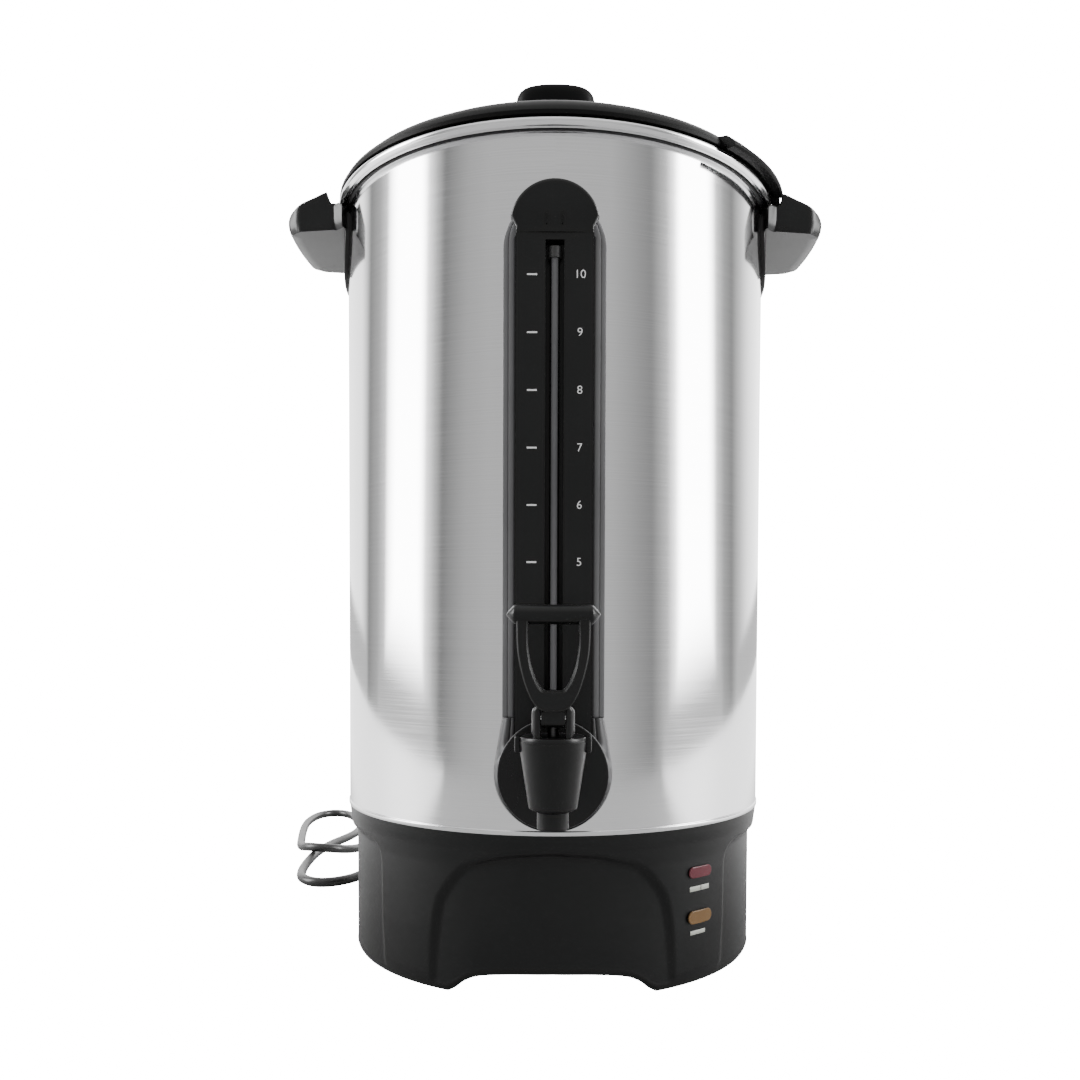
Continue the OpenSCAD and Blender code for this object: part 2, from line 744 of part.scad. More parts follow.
module tap_body() color(c_black) difference() {
    union() {
        translate([0, -tap_y, 0]) rotate_extrude() polygon([
            [0, spout_z], [spout_r, spout_z], [spout_r, spout_z + 7],
            [body_low_r - 0.3, spout_z + 8.7], [body_low_r, spout_z + 10],
            [body_top_r - 0.4, body_top_z - 3], [body_top_r, body_top_z], [0, body_top_z]]);
        at_front(vessel_r - 11, tap_z) cylinder(r = shank_r, h = tap_y - vessel_r + 11);
        at_front(flange_y, tap_z) cylinder(r = shank_r + 3, h = 6.5);
    }
    translate([0, -tap_y, 0]) rotate_extrude() polygon([
        [0, spout_z - 1], [spout_bore_r, spout_z - 1], [spout_bore_r, seat_z],
        [spout_bore_r + 1.4, seat_z], [spout_bore_r + 1.4, chamber_z], [chamber_r - 1, chamber_z],
        [chamber_r, chamber_z + 3.5], [chamber_r, body_top_z + 1], [0, body_top_z + 1]]);
    at_front(vessel_r - 12, tap_z) cylinder(r = shank_bore_r, h = tap_y - vessel_r + 8);
    translate([0, -tube_y, tap_z]) cylinder(r = tube_bore_r, h = 20);
}

module pivot_place(half) translate([-half, -pivot_y, pivot_z]) rotate([0, 90, 0]) children();

module bonnet() color(c_black) difference() {
    union() {
        translate([0, -tap_y, 0]) rotate_extrude() polygon([
            [0, spigot_low_z], [chamber_r - run, spigot_low_z], [chamber_r - run, body_top_z],
            [body_top_r - 0.3, body_top_z], [body_top_r - 0.3, bonnet_top_z - 0.6],
            [body_top_r - 0.9, bonnet_top_z], [0, bonnet_top_z]]);
        for (s = [-1, 1]) translate([s * (body_top_r + 0.3) - 1.3, -tap_y - 3.5, body_top_z])
            cube([2.6, 7, 2]);
        for (s = [-1, 1]) translate([s * (body_top_r + 0.75) - 0.65, -tap_y - 3.5, body_top_z - 5])
            cube([1.3, 7, 7]);
        translate([-neck_half, -pivot_y - ear_r, bonnet_top_z - 0.5])
            cube([2 * neck_half, pivot_ahead + ear_r + 7, pivot_z - bonnet_top_z + 0.5]);
        pivot_place(neck_half) cylinder(r = ear_r, h = 2 * neck_half);
    }
    translate([-channel_half, -tap_y - 30, channel_z]) cube([2 * channel_half, 60, 40]);
    translate([0, -tap_y, spigot_low_z - 1]) cylinder(r = stem_r + run, h = 30);
    pivot_place(neck_half + 1) cylinder(r = pin_r + run, h = 2 * neck_half + 2);
}

module lever_pin() color(c_steel) pivot_place(neck_half) cylinder(r = pin_r, h = 2 * neck_half, $fn = 32);

module tap_spring() color(c_steel) translate([0, -tap_y, 0]) coil_wire(
    spring_r, spring_wire_r, collar_z + collar_t + spring_wire_r, spigot_low_z - spring_wire_r,
    spring_turns, 18, 8);

// A round wire wound in a screw line from z0 to z1
module coil_wire(r, wire, z0, z1, turns, steps, sides) {
    n = turns * steps;
    rings = [for (i = [0:n]) let (a = 360 * i / steps, z = z0 + (z1 - z0) * i / n)
        [for (k = [0:sides - 1]) let (b = 360 * k / sides)
            [(r + wire * cos(b)) * cos(a), (r + wire * cos(b)) * sin(a), z + wire * sin(b)]]];
    tube_skin(rings, sides);
}

// The closed skin of a row of rings, flat at both ends
module tube_skin(rings, sides) {
    n = len(rings) - 1;
    pts = [for (ring = rings, p = ring) p];
    faces = concat(
        [for (i = [0:n - 1], k = [0:sides - 1]) let (a = i * sides + k, b = i * sides + (k + 1) % sides)
            [a, b, b + sides, a + sides]],
        [[for (k = [sides - 1:-1:0]) k], [for (k = [0:sides - 1]) n * sides + k]]);
    polyhedron(points = pts, faces = faces, convexity = 10);
}

module loop_2d() mirrored([
    [0, loop_low_z], [6.8, loop_low_z], [8.4, loop_low_z + 1.8], [10.5, loop_low_z + 8.7],
    [13, loop_low_z + 15.7], [15, loop_low_z + 22.7], [15.4, bar_z - 8], [15.4, bar_z]]);

module loop_hole_2d() mirrored([
    [0, loop_low_z + 9], [3, loop_low_z + 9], [5, loop_low_z + 10.5], [7.3, loop_low_z + 16],
    [9.5, loop_low_z + 23], [10.4, bar_z - 11], [9.6, bar_z - 5.5], [8, bar_z - 3.6],
    [0, bar_z - 3.6]]);

module tap_lever() color(c_black) difference() {
    union() {
        front_slab(loop_back_y, loop_front_y) difference() {
            loop_2d();
            loop_hole_2d();
        }
        translate([0, -bar_y, bar_z]) rotate([0, 90, 0]) bar_solid();
        translate([-eye_half, -loop_back_y - 0.5, pivot_z])
            cube([2 * eye_half, loop_back_y - pivot_y + 1, 8]);
        pivot_place(eye_half) cylinder(r = 2.6, h = 2 * eye_half);
        translate([-eye_half, -pivot_y, pivot_z - tine_r])
            cube([2 * eye_half, pivot_ahead, 2 * tine_r]);
        translate([-eye_half, -tap_y, pivot_z]) rotate([0, 90, 0])
            cylinder(r = tine_r, h = 2 * eye_half, $fn = 32);
    }
    translate([-neck_r - loose, -pivot_y + 3, pivot_z - 5]) cube([2 * neck_r + 2 * loose, 20, 5 + 5]);
    pivot_place(eye_half + 1) cylinder(r = pin_r + run, h = 2 * eye_half + 2);
}

// The pull bar with a rounded end on each side
module bar_solid() rotate_extrude() polygon([
    [0, -bar_half], [1.6, -bar_half + 0.2], [2.9, -bar_half + 1], [3.8, -bar_half + 2.4],
    [bar_r, -bar_half + 4], [bar_r, bar_half - 4], [3.8, bar_half - 2.4],
    [2.9, bar_half - 1], [1.6, bar_half - 0.2], [0, bar_half]]);

module valve_stem() color(c_steel) translate([0, -tap_y, 0]) rotate_extrude($fn = 48) polygon([
    [0, cup_z + 2.2], [stem_r, cup_z + 2.2], [stem_r, collar_z], [stem_r + 2.4, collar_z],
    [stem_r + 2.4, collar_z + collar_t], [stem_r, collar_z + collar_t], [stem_r, neck_z],
    [neck_r, neck_z], [neck_r, head_z], [neck_r + 1.4, head_z], [neck_r + 1.4, head_z + 1.8],
    [0, head_z + 1.8]]);

module seat_cup() color(c_rubber) translate([0, -tap_y, cup_z]) difference() {
    cylinder(r = cup_r, h = cup_h, $fn = 64);
    translate([0, 0, 2.1]) cylinder(r = stem_r + run, h = cup_h, $fn = 48);
}

// ---------- lid ----------

module lid_seal() color(c_rubber) translate([0, 0, rim_top])
    pipe(bead_c - 0.6, vessel_r + 0.3, seal_t, $fn = 180);

function dome_z(r) = dome_edge_z + dome_rise - dome_r + sqrt(dome_r * dome_r - r * r);

module lid_section() polygon(concat(
    [for (i = [0:8]) let (r = dome_edge_r * i / 8) [r, dome_z(r)]],
    [[lid_r - 6.1, rim_top + 9], [lid_r - 1.6, rim_top + 5], [lid_r, rim_top + 2.4],
        [lid_r, lid_lip_z], [lid_r - 2.2, lid_lip_z], [lid_r - 2.2, lid_flange_z],
        [skirt_out_r, lid_flange_z], [skirt_out_r, wall_top - lid_skirt_drop],
        [skirt_out_r - lid_t, wall_top - lid_skirt_drop], [skirt_out_r - lid_t, rim_top + 9]],
    [for (i = [8:-1:0]) let (r = (dome_edge_r - 2) * i / 8) [r, dome_z(r) - lid_t]]));

// One locking wing, from its free end to the handle
module wing() intersection() {
    rotate_extrude($fn = 180) polygon([
        [lid_r - 2.1, lid_lip_z], [wing_r - 4.7, lid_lip_z], [wing_r - 4.7, wall_top + 1.8],
        [wing_r - 0.8, wall_top + 1.8], [wing_r, wall_top + 2.6], [wing_r, rim_top + 1],
        [wing_r - 4.5, rim_top + 5.2], [lid_r - 3.6, rim_top + 6], [lid_r - 3.6, rim_top + 1.3],
        [lid_r - 2.1, rim_top + 1.3]]);
    translate([shell_r + flare_in, -handle_half - wing_gap, wall_top - 10])
        linear_extrude(40) polygon([
        [big, end_slope * big], [-wing_in, -end_slope * wing_in], [-wing_in - 20, -20],
        wing_tip * big, [big, -big * 0.4]]);
}

module wing_tongue() intersection() {
    translate([0, 0, rim_top + 1.4]) pipe(tongue_r, tongue_r - 3.4, 3.1, $fn = 180);
    translate([shell_r - tongue_long, -handle_half - 2, rim_top - 5]) cube([tongue_long * 2, 7, 20]);
}

module lid_shell() color(c_black) difference() {
    union() {
        rotate_extrude($fn = 180) lid_section();
        for (a = [0, 180]) rotate([0, 0, a]) {
            wing();
            wing_tongue();
        }
    }
    translate([0, 0, dome_edge_z]) cylinder(r = 2.2, h = 60);
}

// The bar of the knob: bowed long sides, rounded ends and a rounded top
module knob_bar() intersection() {
    translate([0, 0, knob_low_z]) linear_extrude(knob_h) intersection() {
        circle(r = knob_half);
        for (s = [-1, 1]) translate([0, s * (knob_bow_r - knob_deep)]) circle(r = knob_bow_r, $fn = 180);
    }
    front_slab(-big, big) mirrored([
        [0, knob_top], [knob_half * 0.7, knob_top - 0.3], [knob_half * 0.86, knob_top - 1.5],
        [knob_half * 0.95, knob_top - 3.4], [knob_half, knob_top - 6.2], [knob_half, knob_low_z + 3],
        [knob_half * 0.92, knob_low_z + 0.8], [knob_half * 0.8, knob_low_z], [0, knob_low_z]]);
    rotate([0, 0, 90]) front_slab(-big, big) mirrored([
        [0, knob_top], [knob_deep * 0.58, knob_top], [knob_deep * 0.84, knob_top - 1.2],
        [knob_deep * 0.97, knob_top - 3], [knob_deep, knob_top - 5.5], [knob_deep, knob_low_z + 2],
        [knob_deep * 0.84, knob_low_z], [0, knob_low_z]]);
}

module lid_knob() color(c_black) difference() {
    union() {
        knob_bar();
        rotate_extrude() polygon([
            [0, dome_z(0) - 2], [knob_foot_r, dome_z(0) - 2], [knob_foot_r, dome_z(knob_foot_r) + 1.5],
            [knob_foot_r - 2.4, knob_low_z - 5], [knob_deep * 0.8, knob_low_z + 1], [0, knob_low_z + 1]]);
    }
    rotate_extrude($fn = 128) polygon(concat([[0, 0], [knob_half, 0]],
        [for (i = [6:-1:0]) let (r = knob_half * i / 6) [r, dome_z(r)]]));
    translate([0, 0, dome_edge_z]) cylinder(r = screw_r + touch, h = dome_rise + 14);
}

module knob_screw() color(c_steel) translate([0, 0, dome_z(6) - lid_t - touch]) {
    translate([0, 0, -2]) cylinder(r = 4.5, h = 2);
    translate([0, 0, -1]) cylinder(r = screw_r, h = 14);
}

// ---------- percolator ----------

module pump_tube() color(c_steel) difference() {
    rotate_extrude() polygon([
        [0, vessel_floor], [pump_foot_r, vessel_floor], [pump_foot_r - 1, vessel_floor + pump_lip],
        [pump_r + 2, vessel_floor + pump_cone], [pump_r, vessel_floor + 1.5 * pump_cone],
        [pump_r, basket_z - 2], [pump_r + 6, basket_z - 2], [pump_r + 6, basket_z],
        [pump_r, basket_z], [pump_r, wall_top + 14], [0, wall_top + 14]]);
    rotate_extrude() polygon([
        [0, vessel_floor - 1], [pump_foot_r - 1.5, vessel_floor - 1],
        [pump_foot_r - 2, vessel_floor + pump_lip - 0.6],
        [pump_r + 1, vessel_floor + pump_cone - 0.4],
        [pump_r - pump_wall, vessel_floor + 1.5 * pump_cone],
        [pump_r - pump_wall, wall_top + 15], [0, wall_top + 15]]);
    for (a = [0:90:270]) rotate([0, 0, a]) translate([0, -3, vessel_floor - 1])
        cube([pump_foot_r * 2, 6, 3]);
}

module coffee_basket() color(c_steel) difference() {
    translate([0, 0, basket_z]) rotate_extrude($fn = 128) polygon([
        [pump_r + loose, 0], [basket_r, 0], [basket_r, basket_h - 1], [basket_r + 1.5, basket_h - 1],
        [basket_r + 1.5, basket_h], [basket_r - 0.6, basket_h], [basket_r - 0.6, 0.6],
        [pump_r + loose + 0.6, 0.6], [pump_r + loose + 0.6, basket_h - 6],
        [pump_r + loose, basket_h - 6]]);
    for (r = [20, 36, 52, 68], a = [0:360 / (r / 2):359]) around(a, r, basket_z - 1)
        cylinder(r = 1.2, h = 3, $fn = 16);
}

module basket_cover() color(c_steel) translate([0, 0, basket_z + basket_h]) difference() {
    rotate_extrude($fn = 128) polygon([
        [pump_r + 1, 0], [basket_r + 1.5, 0], [basket_r + 1.5, 0.8], [30, 0.8], [20, 2], [pump_r + 1, 2]]);
    for (r = [34, 50, 66], a = [0:30:330]) around(a, r, -1) cylinder(r = 1.2, h = 3, $fn = 16);
}

// ---------- mains lead ----------

module cord_gland() color(c_rubber) rotate([0, 0, cord_az])
    translate([base_in_r, 0, cord_exit_z]) rotate([0, 90, 0]) rotate_extrude($fn = 48) polygon([
        [cord_r + cord_slack, -3.4], [8, -3.4], [8, -0.5], [6.1, -0.5], [6.1, 5.2], [7.5, 5.2], [7.5, 7.2],
        [cord_r + 1.5, 5.2 + strain_len], [cord_r + cord_slack, 5.2 + strain_len]]);

// Where the lead runs: round figures chosen by hand, on the floor where the height is cord_r
cord_points = [
    [-63, 87, 24], [-74, 102, 24], [-84, 116, 24], [-95, 128, 20.5], [-107, 135, 14.5],
    [-119, 135, 8.5], [-129, 127, 4.8], [-136, 114, 3.3], [-143, 104, 3.3], [-152, 98, 3.3],
    [-161, 98, 3.3], [-169, 104, 3.3], [-175, 115, 3.3], [-179, 136, 3.3], [-181, 164, 3.3],
    [-181, 190, 3.3], [-177, 216, 3.3], [-170, 240, 3.3], [-166, 260, 3.3], [-166, 280, 3.3],
    [-170, 300, 3.3], [-177, 320, 3.3], [-184, 336, 3.3], [-193, 347, 3.3], [-204, 350, 3.3],
    [-213, 342, 3.3], [-217, 326, 3.3], [-217, 302, 3.3], [-213, 274, 3.3], [-207, 244, 3.3],
    [-201, 217, 3.5], [-195, 197, 6], [-187, 182, 9], [-176, 175, 9.9], [-165, 178, 8.4],
    [-157, 190, 5.5], [-151, 206, 3.3], [-137, 229, 3.3], [-97, 246, 3.3], [-22, 245, 3.3]
];
tail_points = [[-6, 241, 10], [12, 238, 10], [32, 234, 12.5], [52, 230, 14]];
plug_at = [52, 230, 14];
plug_turn = -11;
coil_x = -10;
coil_y = 205;
coil_in_r = 30;
coil_out_r = 43.5;
coil_low_z = 0.05;
coil_top_z = 12.4;

// A smooth line through the points, with a few steps in each span
function spline_at(p, i, t) = let (
    a = p[max(i - 1, 0)], b = p[i], c = p[i + 1], d = p[min(i + 2, len(p) - 1)])
    0.5 * ((2 * b) + (c - a) * t + (2 * a - 5 * b + 4 * c - d) * t * t
        + (3 * b - 3 * c + d - a) * t * t * t);
cord_steps = 2;
function smooth_line(p) = concat(
    [for (i = [0:len(p) - 2], k = [0:cord_steps - 1]) spline_at(p, i, k / cord_steps)],
    [p[len(p) - 1]]);

// One ring of the lead, square to the line and level at its sides
function cord_ring(p, i, sides) = let (
    n = len(p) - 1,
    d = p[min(i + 1, n)] - p[max(i - 1, 0)],
    t = d / norm(d),
    s = cross([0, 0, 1], t) / norm(cross([0, 0, 1], t)),
    u = cross(t, s))
    [for (k = [0:sides - 1]) p[i] + cord_r * (cos(360 * k / sides) * s + sin(360 * k / sides) * u)];

module lead(p) {
    line = smooth_line(p);
    tube_skin([for (i = [0:len(line) - 1]) cord_ring(line, i, 8)], 8);
}

module cord_tube() color(c_rubber) {
    lead(cord_points);
    lead(tail_points);
}

module cord_coil() color(c_rubber) translate([coil_x, coil_y, coil_low_z])
    pipe(coil_out_r, coil_in_r, coil_top_z - coil_low_z);

// The plug lies on the side of its head
module plug_place() translate(plug_at) rotate([0, 90, plug_turn]) children();

module plug_body() color(c_black) plug_place() rotate_extrude($fn = 48) polygon([
    [0, 0], [4.4, 0], [5.4, 22], [9, 27], [13.5, 31], [14, 34], [14, 50], [12.5, 52], [0, 52]]);

module plug_pins() color(c_brass) plug_place() for (s = [-1, 1])
    translate([0, s * 6, 52]) cylinder(r = 2, h = 19, $fn = 24);

// ---------- drawing ----------

outer_shell();
inner_vessel();
rim_ring();
base_housing();
rubber_feet();
bottom_plate();
base_screws();
vessel_studs();
stud_nuts();
heater_plate();
heater_tube();
thermostat();
thermal_cutout();
terminal_block();
red_lamp();
amber_lamp();
handle_left();
handle_right();
handle_screws();
gauge_frame();
gauge_panel();
gauge_cap();
tap_skirt();
tap_flange();
gauge_banjo();
sight_tube();
tube_top_seal();
tube_bottom_seal();
tap_washers();
tap_nut();
tap_body();
bonnet();
lever_pin();
tap_spring();
tap_lever();
valve_stem();
seat_cup();
lid_seal();
lid_shell();
lid_knob();
knob_screw();
pump_tube();
coffee_basket();
basket_cover();
cord_gland();
cord_tube();
cord_coil();
plug_body();
plug_pins();
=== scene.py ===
# %% [markdown]
# # A coffee urn in Blender
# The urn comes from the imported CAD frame, one object for each real piece. This file dresses it:
# it sets the camera, lays the mains lead, gives each piece its finish, and puts softer, more
# detailed surfaces where a plain solid would look too sharp.

# %% Load the frame
import math
import bmesh
import bpy
import numpy as np
from mathutils import Matrix


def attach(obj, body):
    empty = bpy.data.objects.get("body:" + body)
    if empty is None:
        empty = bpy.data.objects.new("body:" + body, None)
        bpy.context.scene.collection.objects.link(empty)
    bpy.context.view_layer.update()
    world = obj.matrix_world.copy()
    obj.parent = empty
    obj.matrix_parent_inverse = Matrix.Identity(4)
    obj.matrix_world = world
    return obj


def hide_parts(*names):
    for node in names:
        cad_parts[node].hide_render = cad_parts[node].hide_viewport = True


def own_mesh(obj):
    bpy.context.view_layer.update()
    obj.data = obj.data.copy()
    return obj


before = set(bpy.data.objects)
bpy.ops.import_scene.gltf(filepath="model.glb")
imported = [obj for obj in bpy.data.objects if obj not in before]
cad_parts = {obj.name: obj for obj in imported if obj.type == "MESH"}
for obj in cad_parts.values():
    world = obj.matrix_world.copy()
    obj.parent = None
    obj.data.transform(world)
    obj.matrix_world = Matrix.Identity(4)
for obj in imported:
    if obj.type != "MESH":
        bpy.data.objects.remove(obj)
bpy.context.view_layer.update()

MM = 0.001

# %% [markdown]
# ## The camera
# The picture is square. The eye is close and level with the lower part of the gauge, so the rim
# bows up and the base bows down. The lens looks 2 degrees down. Its shift slides the urn to the
# middle of the picture without turning the camera, which keeps the urn's sides nearly straight.

# %% Camera
LENS = 33.34
EYE = (0.0, -576.3 * MM, 177 * MM)
LOOK_DOWN_DEG = 1.987
ROLL_DEG = 0.22
camera_data = bpy.data.cameras.new("studio_camera")
camera_data.lens = LENS
camera_data.sensor_width = 36
camera_data.sensor_fit = "HORIZONTAL"
camera_data.shift_x = -0.0124
camera_data.shift_y = 0.113
camera_data.clip_start = 0.01
camera_data.clip_end = 60
camera = bpy.data.objects.new("studio_camera", camera_data)
bpy.context.scene.collection.objects.link(camera)
tilt = Matrix.Rotation(math.radians(90 - LOOK_DOWN_DEG), 4, "X")
roll = Matrix.Rotation(math.radians(ROLL_DEG), 4, "Z")
camera.matrix_world = Matrix.Translation(EYE) @ tilt @ roll
bpy.context.scene.camera = camera
print("camera", LENS, "mm at", EYE)

# %% [markdown]
# ## Surfaces from arrays
# Each new piece is a grid of points worked out as one array. The helpers turn such a grid into a
# mesh, close its ends, and hang it on the body that carries it. A piece could also be modelled by
# hand, but a formula puts every point at its real size, and its numbers can be read and changed.

# %% Mesh helpers
def grid_faces(rows, cols, wrap_rows=False, wrap_cols=True):
    """Quads of a rows by cols grid: each joins a point to its right, upper right and upper one."""
    r, c = np.meshgrid(
        np.arange(rows if wrap_rows else rows - 1),
        np.arange(cols if wrap_cols else cols - 1), indexing="ij")
    r_next = (r + 1) % rows
    c_next = (c + 1) % cols
    corners = [r * cols + c, r * cols + c_next, r_next * cols + c_next, r_next * cols + c]
    return np.stack(corners, -1).reshape(-1, 4)


def add_piece(name, points, faces, body, caps=(), smooth_angle=40):
    """A mesh object from points in millimetres and quads, with its doubles merged and its normals
    pointing out. caps are further faces, each a list of point numbers."""
    mesh = bpy.data.meshes.new(name)
    mesh.from_pydata((np.asarray(points) * MM).reshape(-1, 3), [],
                     [list(map(int, f)) for f in faces.tolist()] + [list(map(int, f)) for f in caps])
    clean_mesh(mesh, smooth_angle)
    return hang(name, mesh, body)


def clean_mesh(mesh, smooth_angle):
    """Merges doubles, drops empty faces, turns the normals out and marks sharp edges."""
    bm = bmesh.new()
    bm.from_mesh(mesh)
    bmesh.ops.remove_doubles(bm, verts=bm.verts, dist=2e-6)
    bmesh.ops.dissolve_degenerate(bm, edges=bm.edges, dist=1e-6)
    bmesh.ops.recalc_face_normals(bm, faces=bm.faces)
    bm.to_mesh(mesh)
    bm.free()
    mesh.polygons.foreach_set("use_smooth", np.ones(len(mesh.polygons), bool))
    mesh.set_sharp_from_angle(angle=math.radians(smooth_angle))
    mesh.update()


def hang(name, mesh, body):
    """Links a mesh as an object at the origin that rides on a body."""
    piece = bpy.data.objects.new(name, mesh)
    bpy.context.scene.collection.objects.link(piece)
    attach(piece, body)
    return piece


def rounded(corners, radius, steps=6):
    """An outline with its corners eased: between a point before and a point after each corner it
    follows the curve (1-s)^2 A + 2s(1-s) P + s^2 B. radius is one length or one for each corner."""
    p = np.asarray(corners, float)
    to_last = np.roll(p, 1, 0) - p
    to_next = np.roll(p, -1, 0) - p
    reach = np.broadcast_to(np.asarray(radius, float), len(p))[:, None]
    len_last = np.linalg.norm(to_last, axis=1, keepdims=True)
    len_next = np.linalg.norm(to_next, axis=1, keepdims=True)
    a = p + to_last / len_last * np.minimum(reach, len_last * 0.48)
    b = p + to_next / len_next * np.minimum(reach, len_next * 0.48)
    s = np.linspace(0, 1, steps)[None, :, None]
    curve = (1 - s) ** 2 * a[:, None] + 2 * s * (1 - s) * p[:, None] + s ** 2 * b[:, None]
    return curve.reshape(-1, 2)


def turned(profile, steps=256, centre=(0, 0)):
    """A profile of radius and height carried round a vertical line: x = r cos t, y = r sin t."""
    p = np.asarray(profile, float)
    t = np.linspace(0, 2 * math.pi, steps, endpoint=False)
    x = centre[0] + p[:, :1] * np.cos(t)
    y = centre[1] + p[:, :1] * np.sin(t)
    z = np.broadcast_to(p[:, 1:], x.shape)
    return np.stack([x, y, z], -1)


def turned_piece(name, profile, body, steps=256, centre=(0, 0), smooth_angle=40):
    """A closed profile turned into a ring, or into a solid where the profile touches the axis."""
    points = turned(profile, steps, centre)
    faces = grid_faces(len(profile), steps, wrap_rows=True)
    return add_piece(name, points, faces, body, smooth_angle=smooth_angle)


BEVEL_STEPS = 3
BEVEL_FROM_DEG = 30
SMOOTH_TO_DEG = 35


def softened(node, width, body):
    """A copy of a CAD solid. A bevel of that width in millimetres eases each edge whose faces meet
    at more than BEVEL_FROM_DEG."""
    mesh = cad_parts[node].data.copy()
    mesh.materials.clear()
    bm = bmesh.new()
    bm.from_mesh(mesh)
    bmesh.ops.remove_doubles(bm, verts=bm.verts, dist=1e-6)
    bmesh.ops.dissolve_limit(bm, angle_limit=math.radians(0.5), verts=bm.verts, edges=bm.edges)
    bm.to_mesh(mesh)
    bm.free()
    mesh.polygons.foreach_set("use_smooth", np.ones(len(mesh.polygons), bool))
    mesh.set_sharp_from_angle(angle=math.radians(SMOOTH_TO_DEG))
    piece = hang(node + "_finished", mesh, body)
    bevel = piece.modifiers.new("eased_edges", "BEVEL")
    bevel.width = width * MM
    bevel.segments = BEVEL_STEPS
    bevel.limit_method = "ANGLE"
    bevel.angle_limit = math.radians(BEVEL_FROM_DEG)
    bevel.harden_normals = True
    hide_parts(node)
    return piece


print("helpers ready")

# %% [markdown]
# ## The mains lead
# A lead is a tube of constant thickness along one smooth line. It leaves the base at the left
# rear, makes two flat loops on the table, and the rest is wound into a small coil behind the urn,
# with the plug beside it. The line passes through the same points as the solid in the CAD frame.
# A curve object with a round bevel would do as well, but this line is laid out in equal steps, so
# its length is known and can be stated.

# %% Lead
LEAD_D = 6.5
LEAD_SIDES = 16
LEAD_STEP = 2.5
route = np.array([
    [-63, 87, 24], [-74, 102, 24], [-84, 116, 24], [-95, 128, 20.5], [-107, 135, 14.5],
    [-119, 135, 8.5], [-129, 127, 4.8], [-136, 114, 3.3], [-143, 104, 3.3], [-152, 98, 3.3],
    [-161, 98, 3.3], [-169, 104, 3.3], [-175, 115, 3.3], [-179, 136, 3.3], [-181, 164, 3.3],
    [-181, 190, 3.3], [-177, 216, 3.3], [-170, 240, 3.3], [-166, 260, 3.3], [-166, 280, 3.3],
    [-170, 300, 3.3], [-177, 320, 3.3], [-184, 336, 3.3], [-193, 347, 3.3], [-204, 350, 3.3],
    [-213, 342, 3.3], [-217, 326, 3.3], [-217, 302, 3.3], [-213, 274, 3.3], [-207, 244, 3.3],
    [-201, 217, 3.5], [-195, 197, 6], [-187, 182, 9], [-176, 175, 9.9], [-165, 178, 8.4],
    [-157, 190, 5.5], [-151, 206, 3.3], [-137, 229, 3.3], [-97, 246, 3.3], [-22, 245, 3.3]], float)
tail = np.array([[-6, 241, 10], [12, 238, 10], [32, 234, 12.5], [52, 230, 14]], float)
COIL_CENTRE = np.array([-10, 205.0])
COIL_TURNS = 2.96


def through(points, steps):
    """A smooth line through points: each stretch is a cubic that leaves and arrives along the
    chord from the point before to the point after."""
    p = np.vstack([2 * points[0] - points[1], points, 2 * points[-1] - points[-2]])
    s = np.linspace(0, 1, steps, endpoint=False)[None, :, None]
    a, b, c, d = (p[i:len(p) - 3 + i, None] for i in range(4))
    line = 0.5 * (2 * b + (c - a) * s + (2 * a - 5 * b + 4 * c - d) * s ** 2
                  + (3 * b - a - 3 * c + d) * s ** 3)
    return np.vstack([line.reshape(-1, points.shape[1]), points[-1:]])


def coil_line(steps=150):
    """Nearly three turns, clockwise seen from above. The radius and the height step from turn to
    turn, so that the turns lie beside and on each other."""
    t = np.linspace(0, 1, steps)
    turn = t * COIL_TURNS
    angle = math.radians(90) - turn * 2 * math.pi
    radius = np.interp(turn, [0, 0.85, 1.1, 1.8, 2.1, 3], [40, 40, 33.4, 33.4, 36.7, 36.7])
    height = np.interp(turn, [0, 1.75, 2.1, 3], [3.3, 3.3, 9.2, 9.2])
    x = COIL_CENTRE[0] + radius * np.cos(angle)
    y = COIL_CENTRE[1] + radius * np.sin(angle)
    return np.stack([x, y, height], -1)


def evened(line, step, rounds=3):
    """The same line with its points a step apart, after each was moved to its neighbours' mean."""
    line = np.array(line)
    for _ in range(rounds):
        line[1:-1] = line[1:-1] * 0.5 + (line[:-2] + line[2:]) * 0.25
    length = np.r_[0, np.cumsum(np.linalg.norm(np.diff(line, axis=0), axis=1))]
    places = np.linspace(0, length[-1], int(length[-1] / step) + 1)
    return np.stack([np.interp(places, length, line[:, k]) for k in range(3)], -1), length[-1]


def swept(line, sides, radius):
    """Rings about a line: each point is line + r cos t across + r sin t up, across is level."""
    along = np.gradient(line, axis=0)
    along /= np.linalg.norm(along, axis=1, keepdims=True)
    across = np.cross(along, [0, 0, 1.0])
    across /= np.linalg.norm(across, axis=1, keepdims=True)
    up = np.cross(across, along)
    t = np.linspace(0, 2 * math.pi, sides, endpoint=False)[None, :, None]
    r = np.broadcast_to(np.asarray(radius, float), len(line))[:, None, None]
    return line[:, None] + r * (np.cos(t) * across[:, None] + np.sin(t) * up[:, None])


plug = softened("plug_body", 0.8, "urn")
lead_line, lead_length = evened(
    np.vstack([through(route, 8), coil_line()[3:], through(tail, 8)]), LEAD_STEP)
rings = swept(lead_line, LEAD_SIDES, LEAD_D / 2)
last = (len(rings) - 1) * LEAD_SIDES
lead = add_piece("mains_lead", rings, grid_faces(len(rings), LEAD_SIDES), "urn",
                 caps=[list(range(LEAD_SIDES - 1, -1, -1)), list(range(last, last + LEAD_SIDES))])
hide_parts("cord_tube", "cord_coil")
print("lead", round(lead_length), "mm,", len(rings), "rings")

# %% [markdown]
# ## Finishes
# Every finish is a Principled shader fed by small node groups that read object coordinates, so
# a pattern keeps its real size on every piece. The groups put out masks and normals, and the
# shader stays in the material. An image texture would need unwrapping and could show its edges.

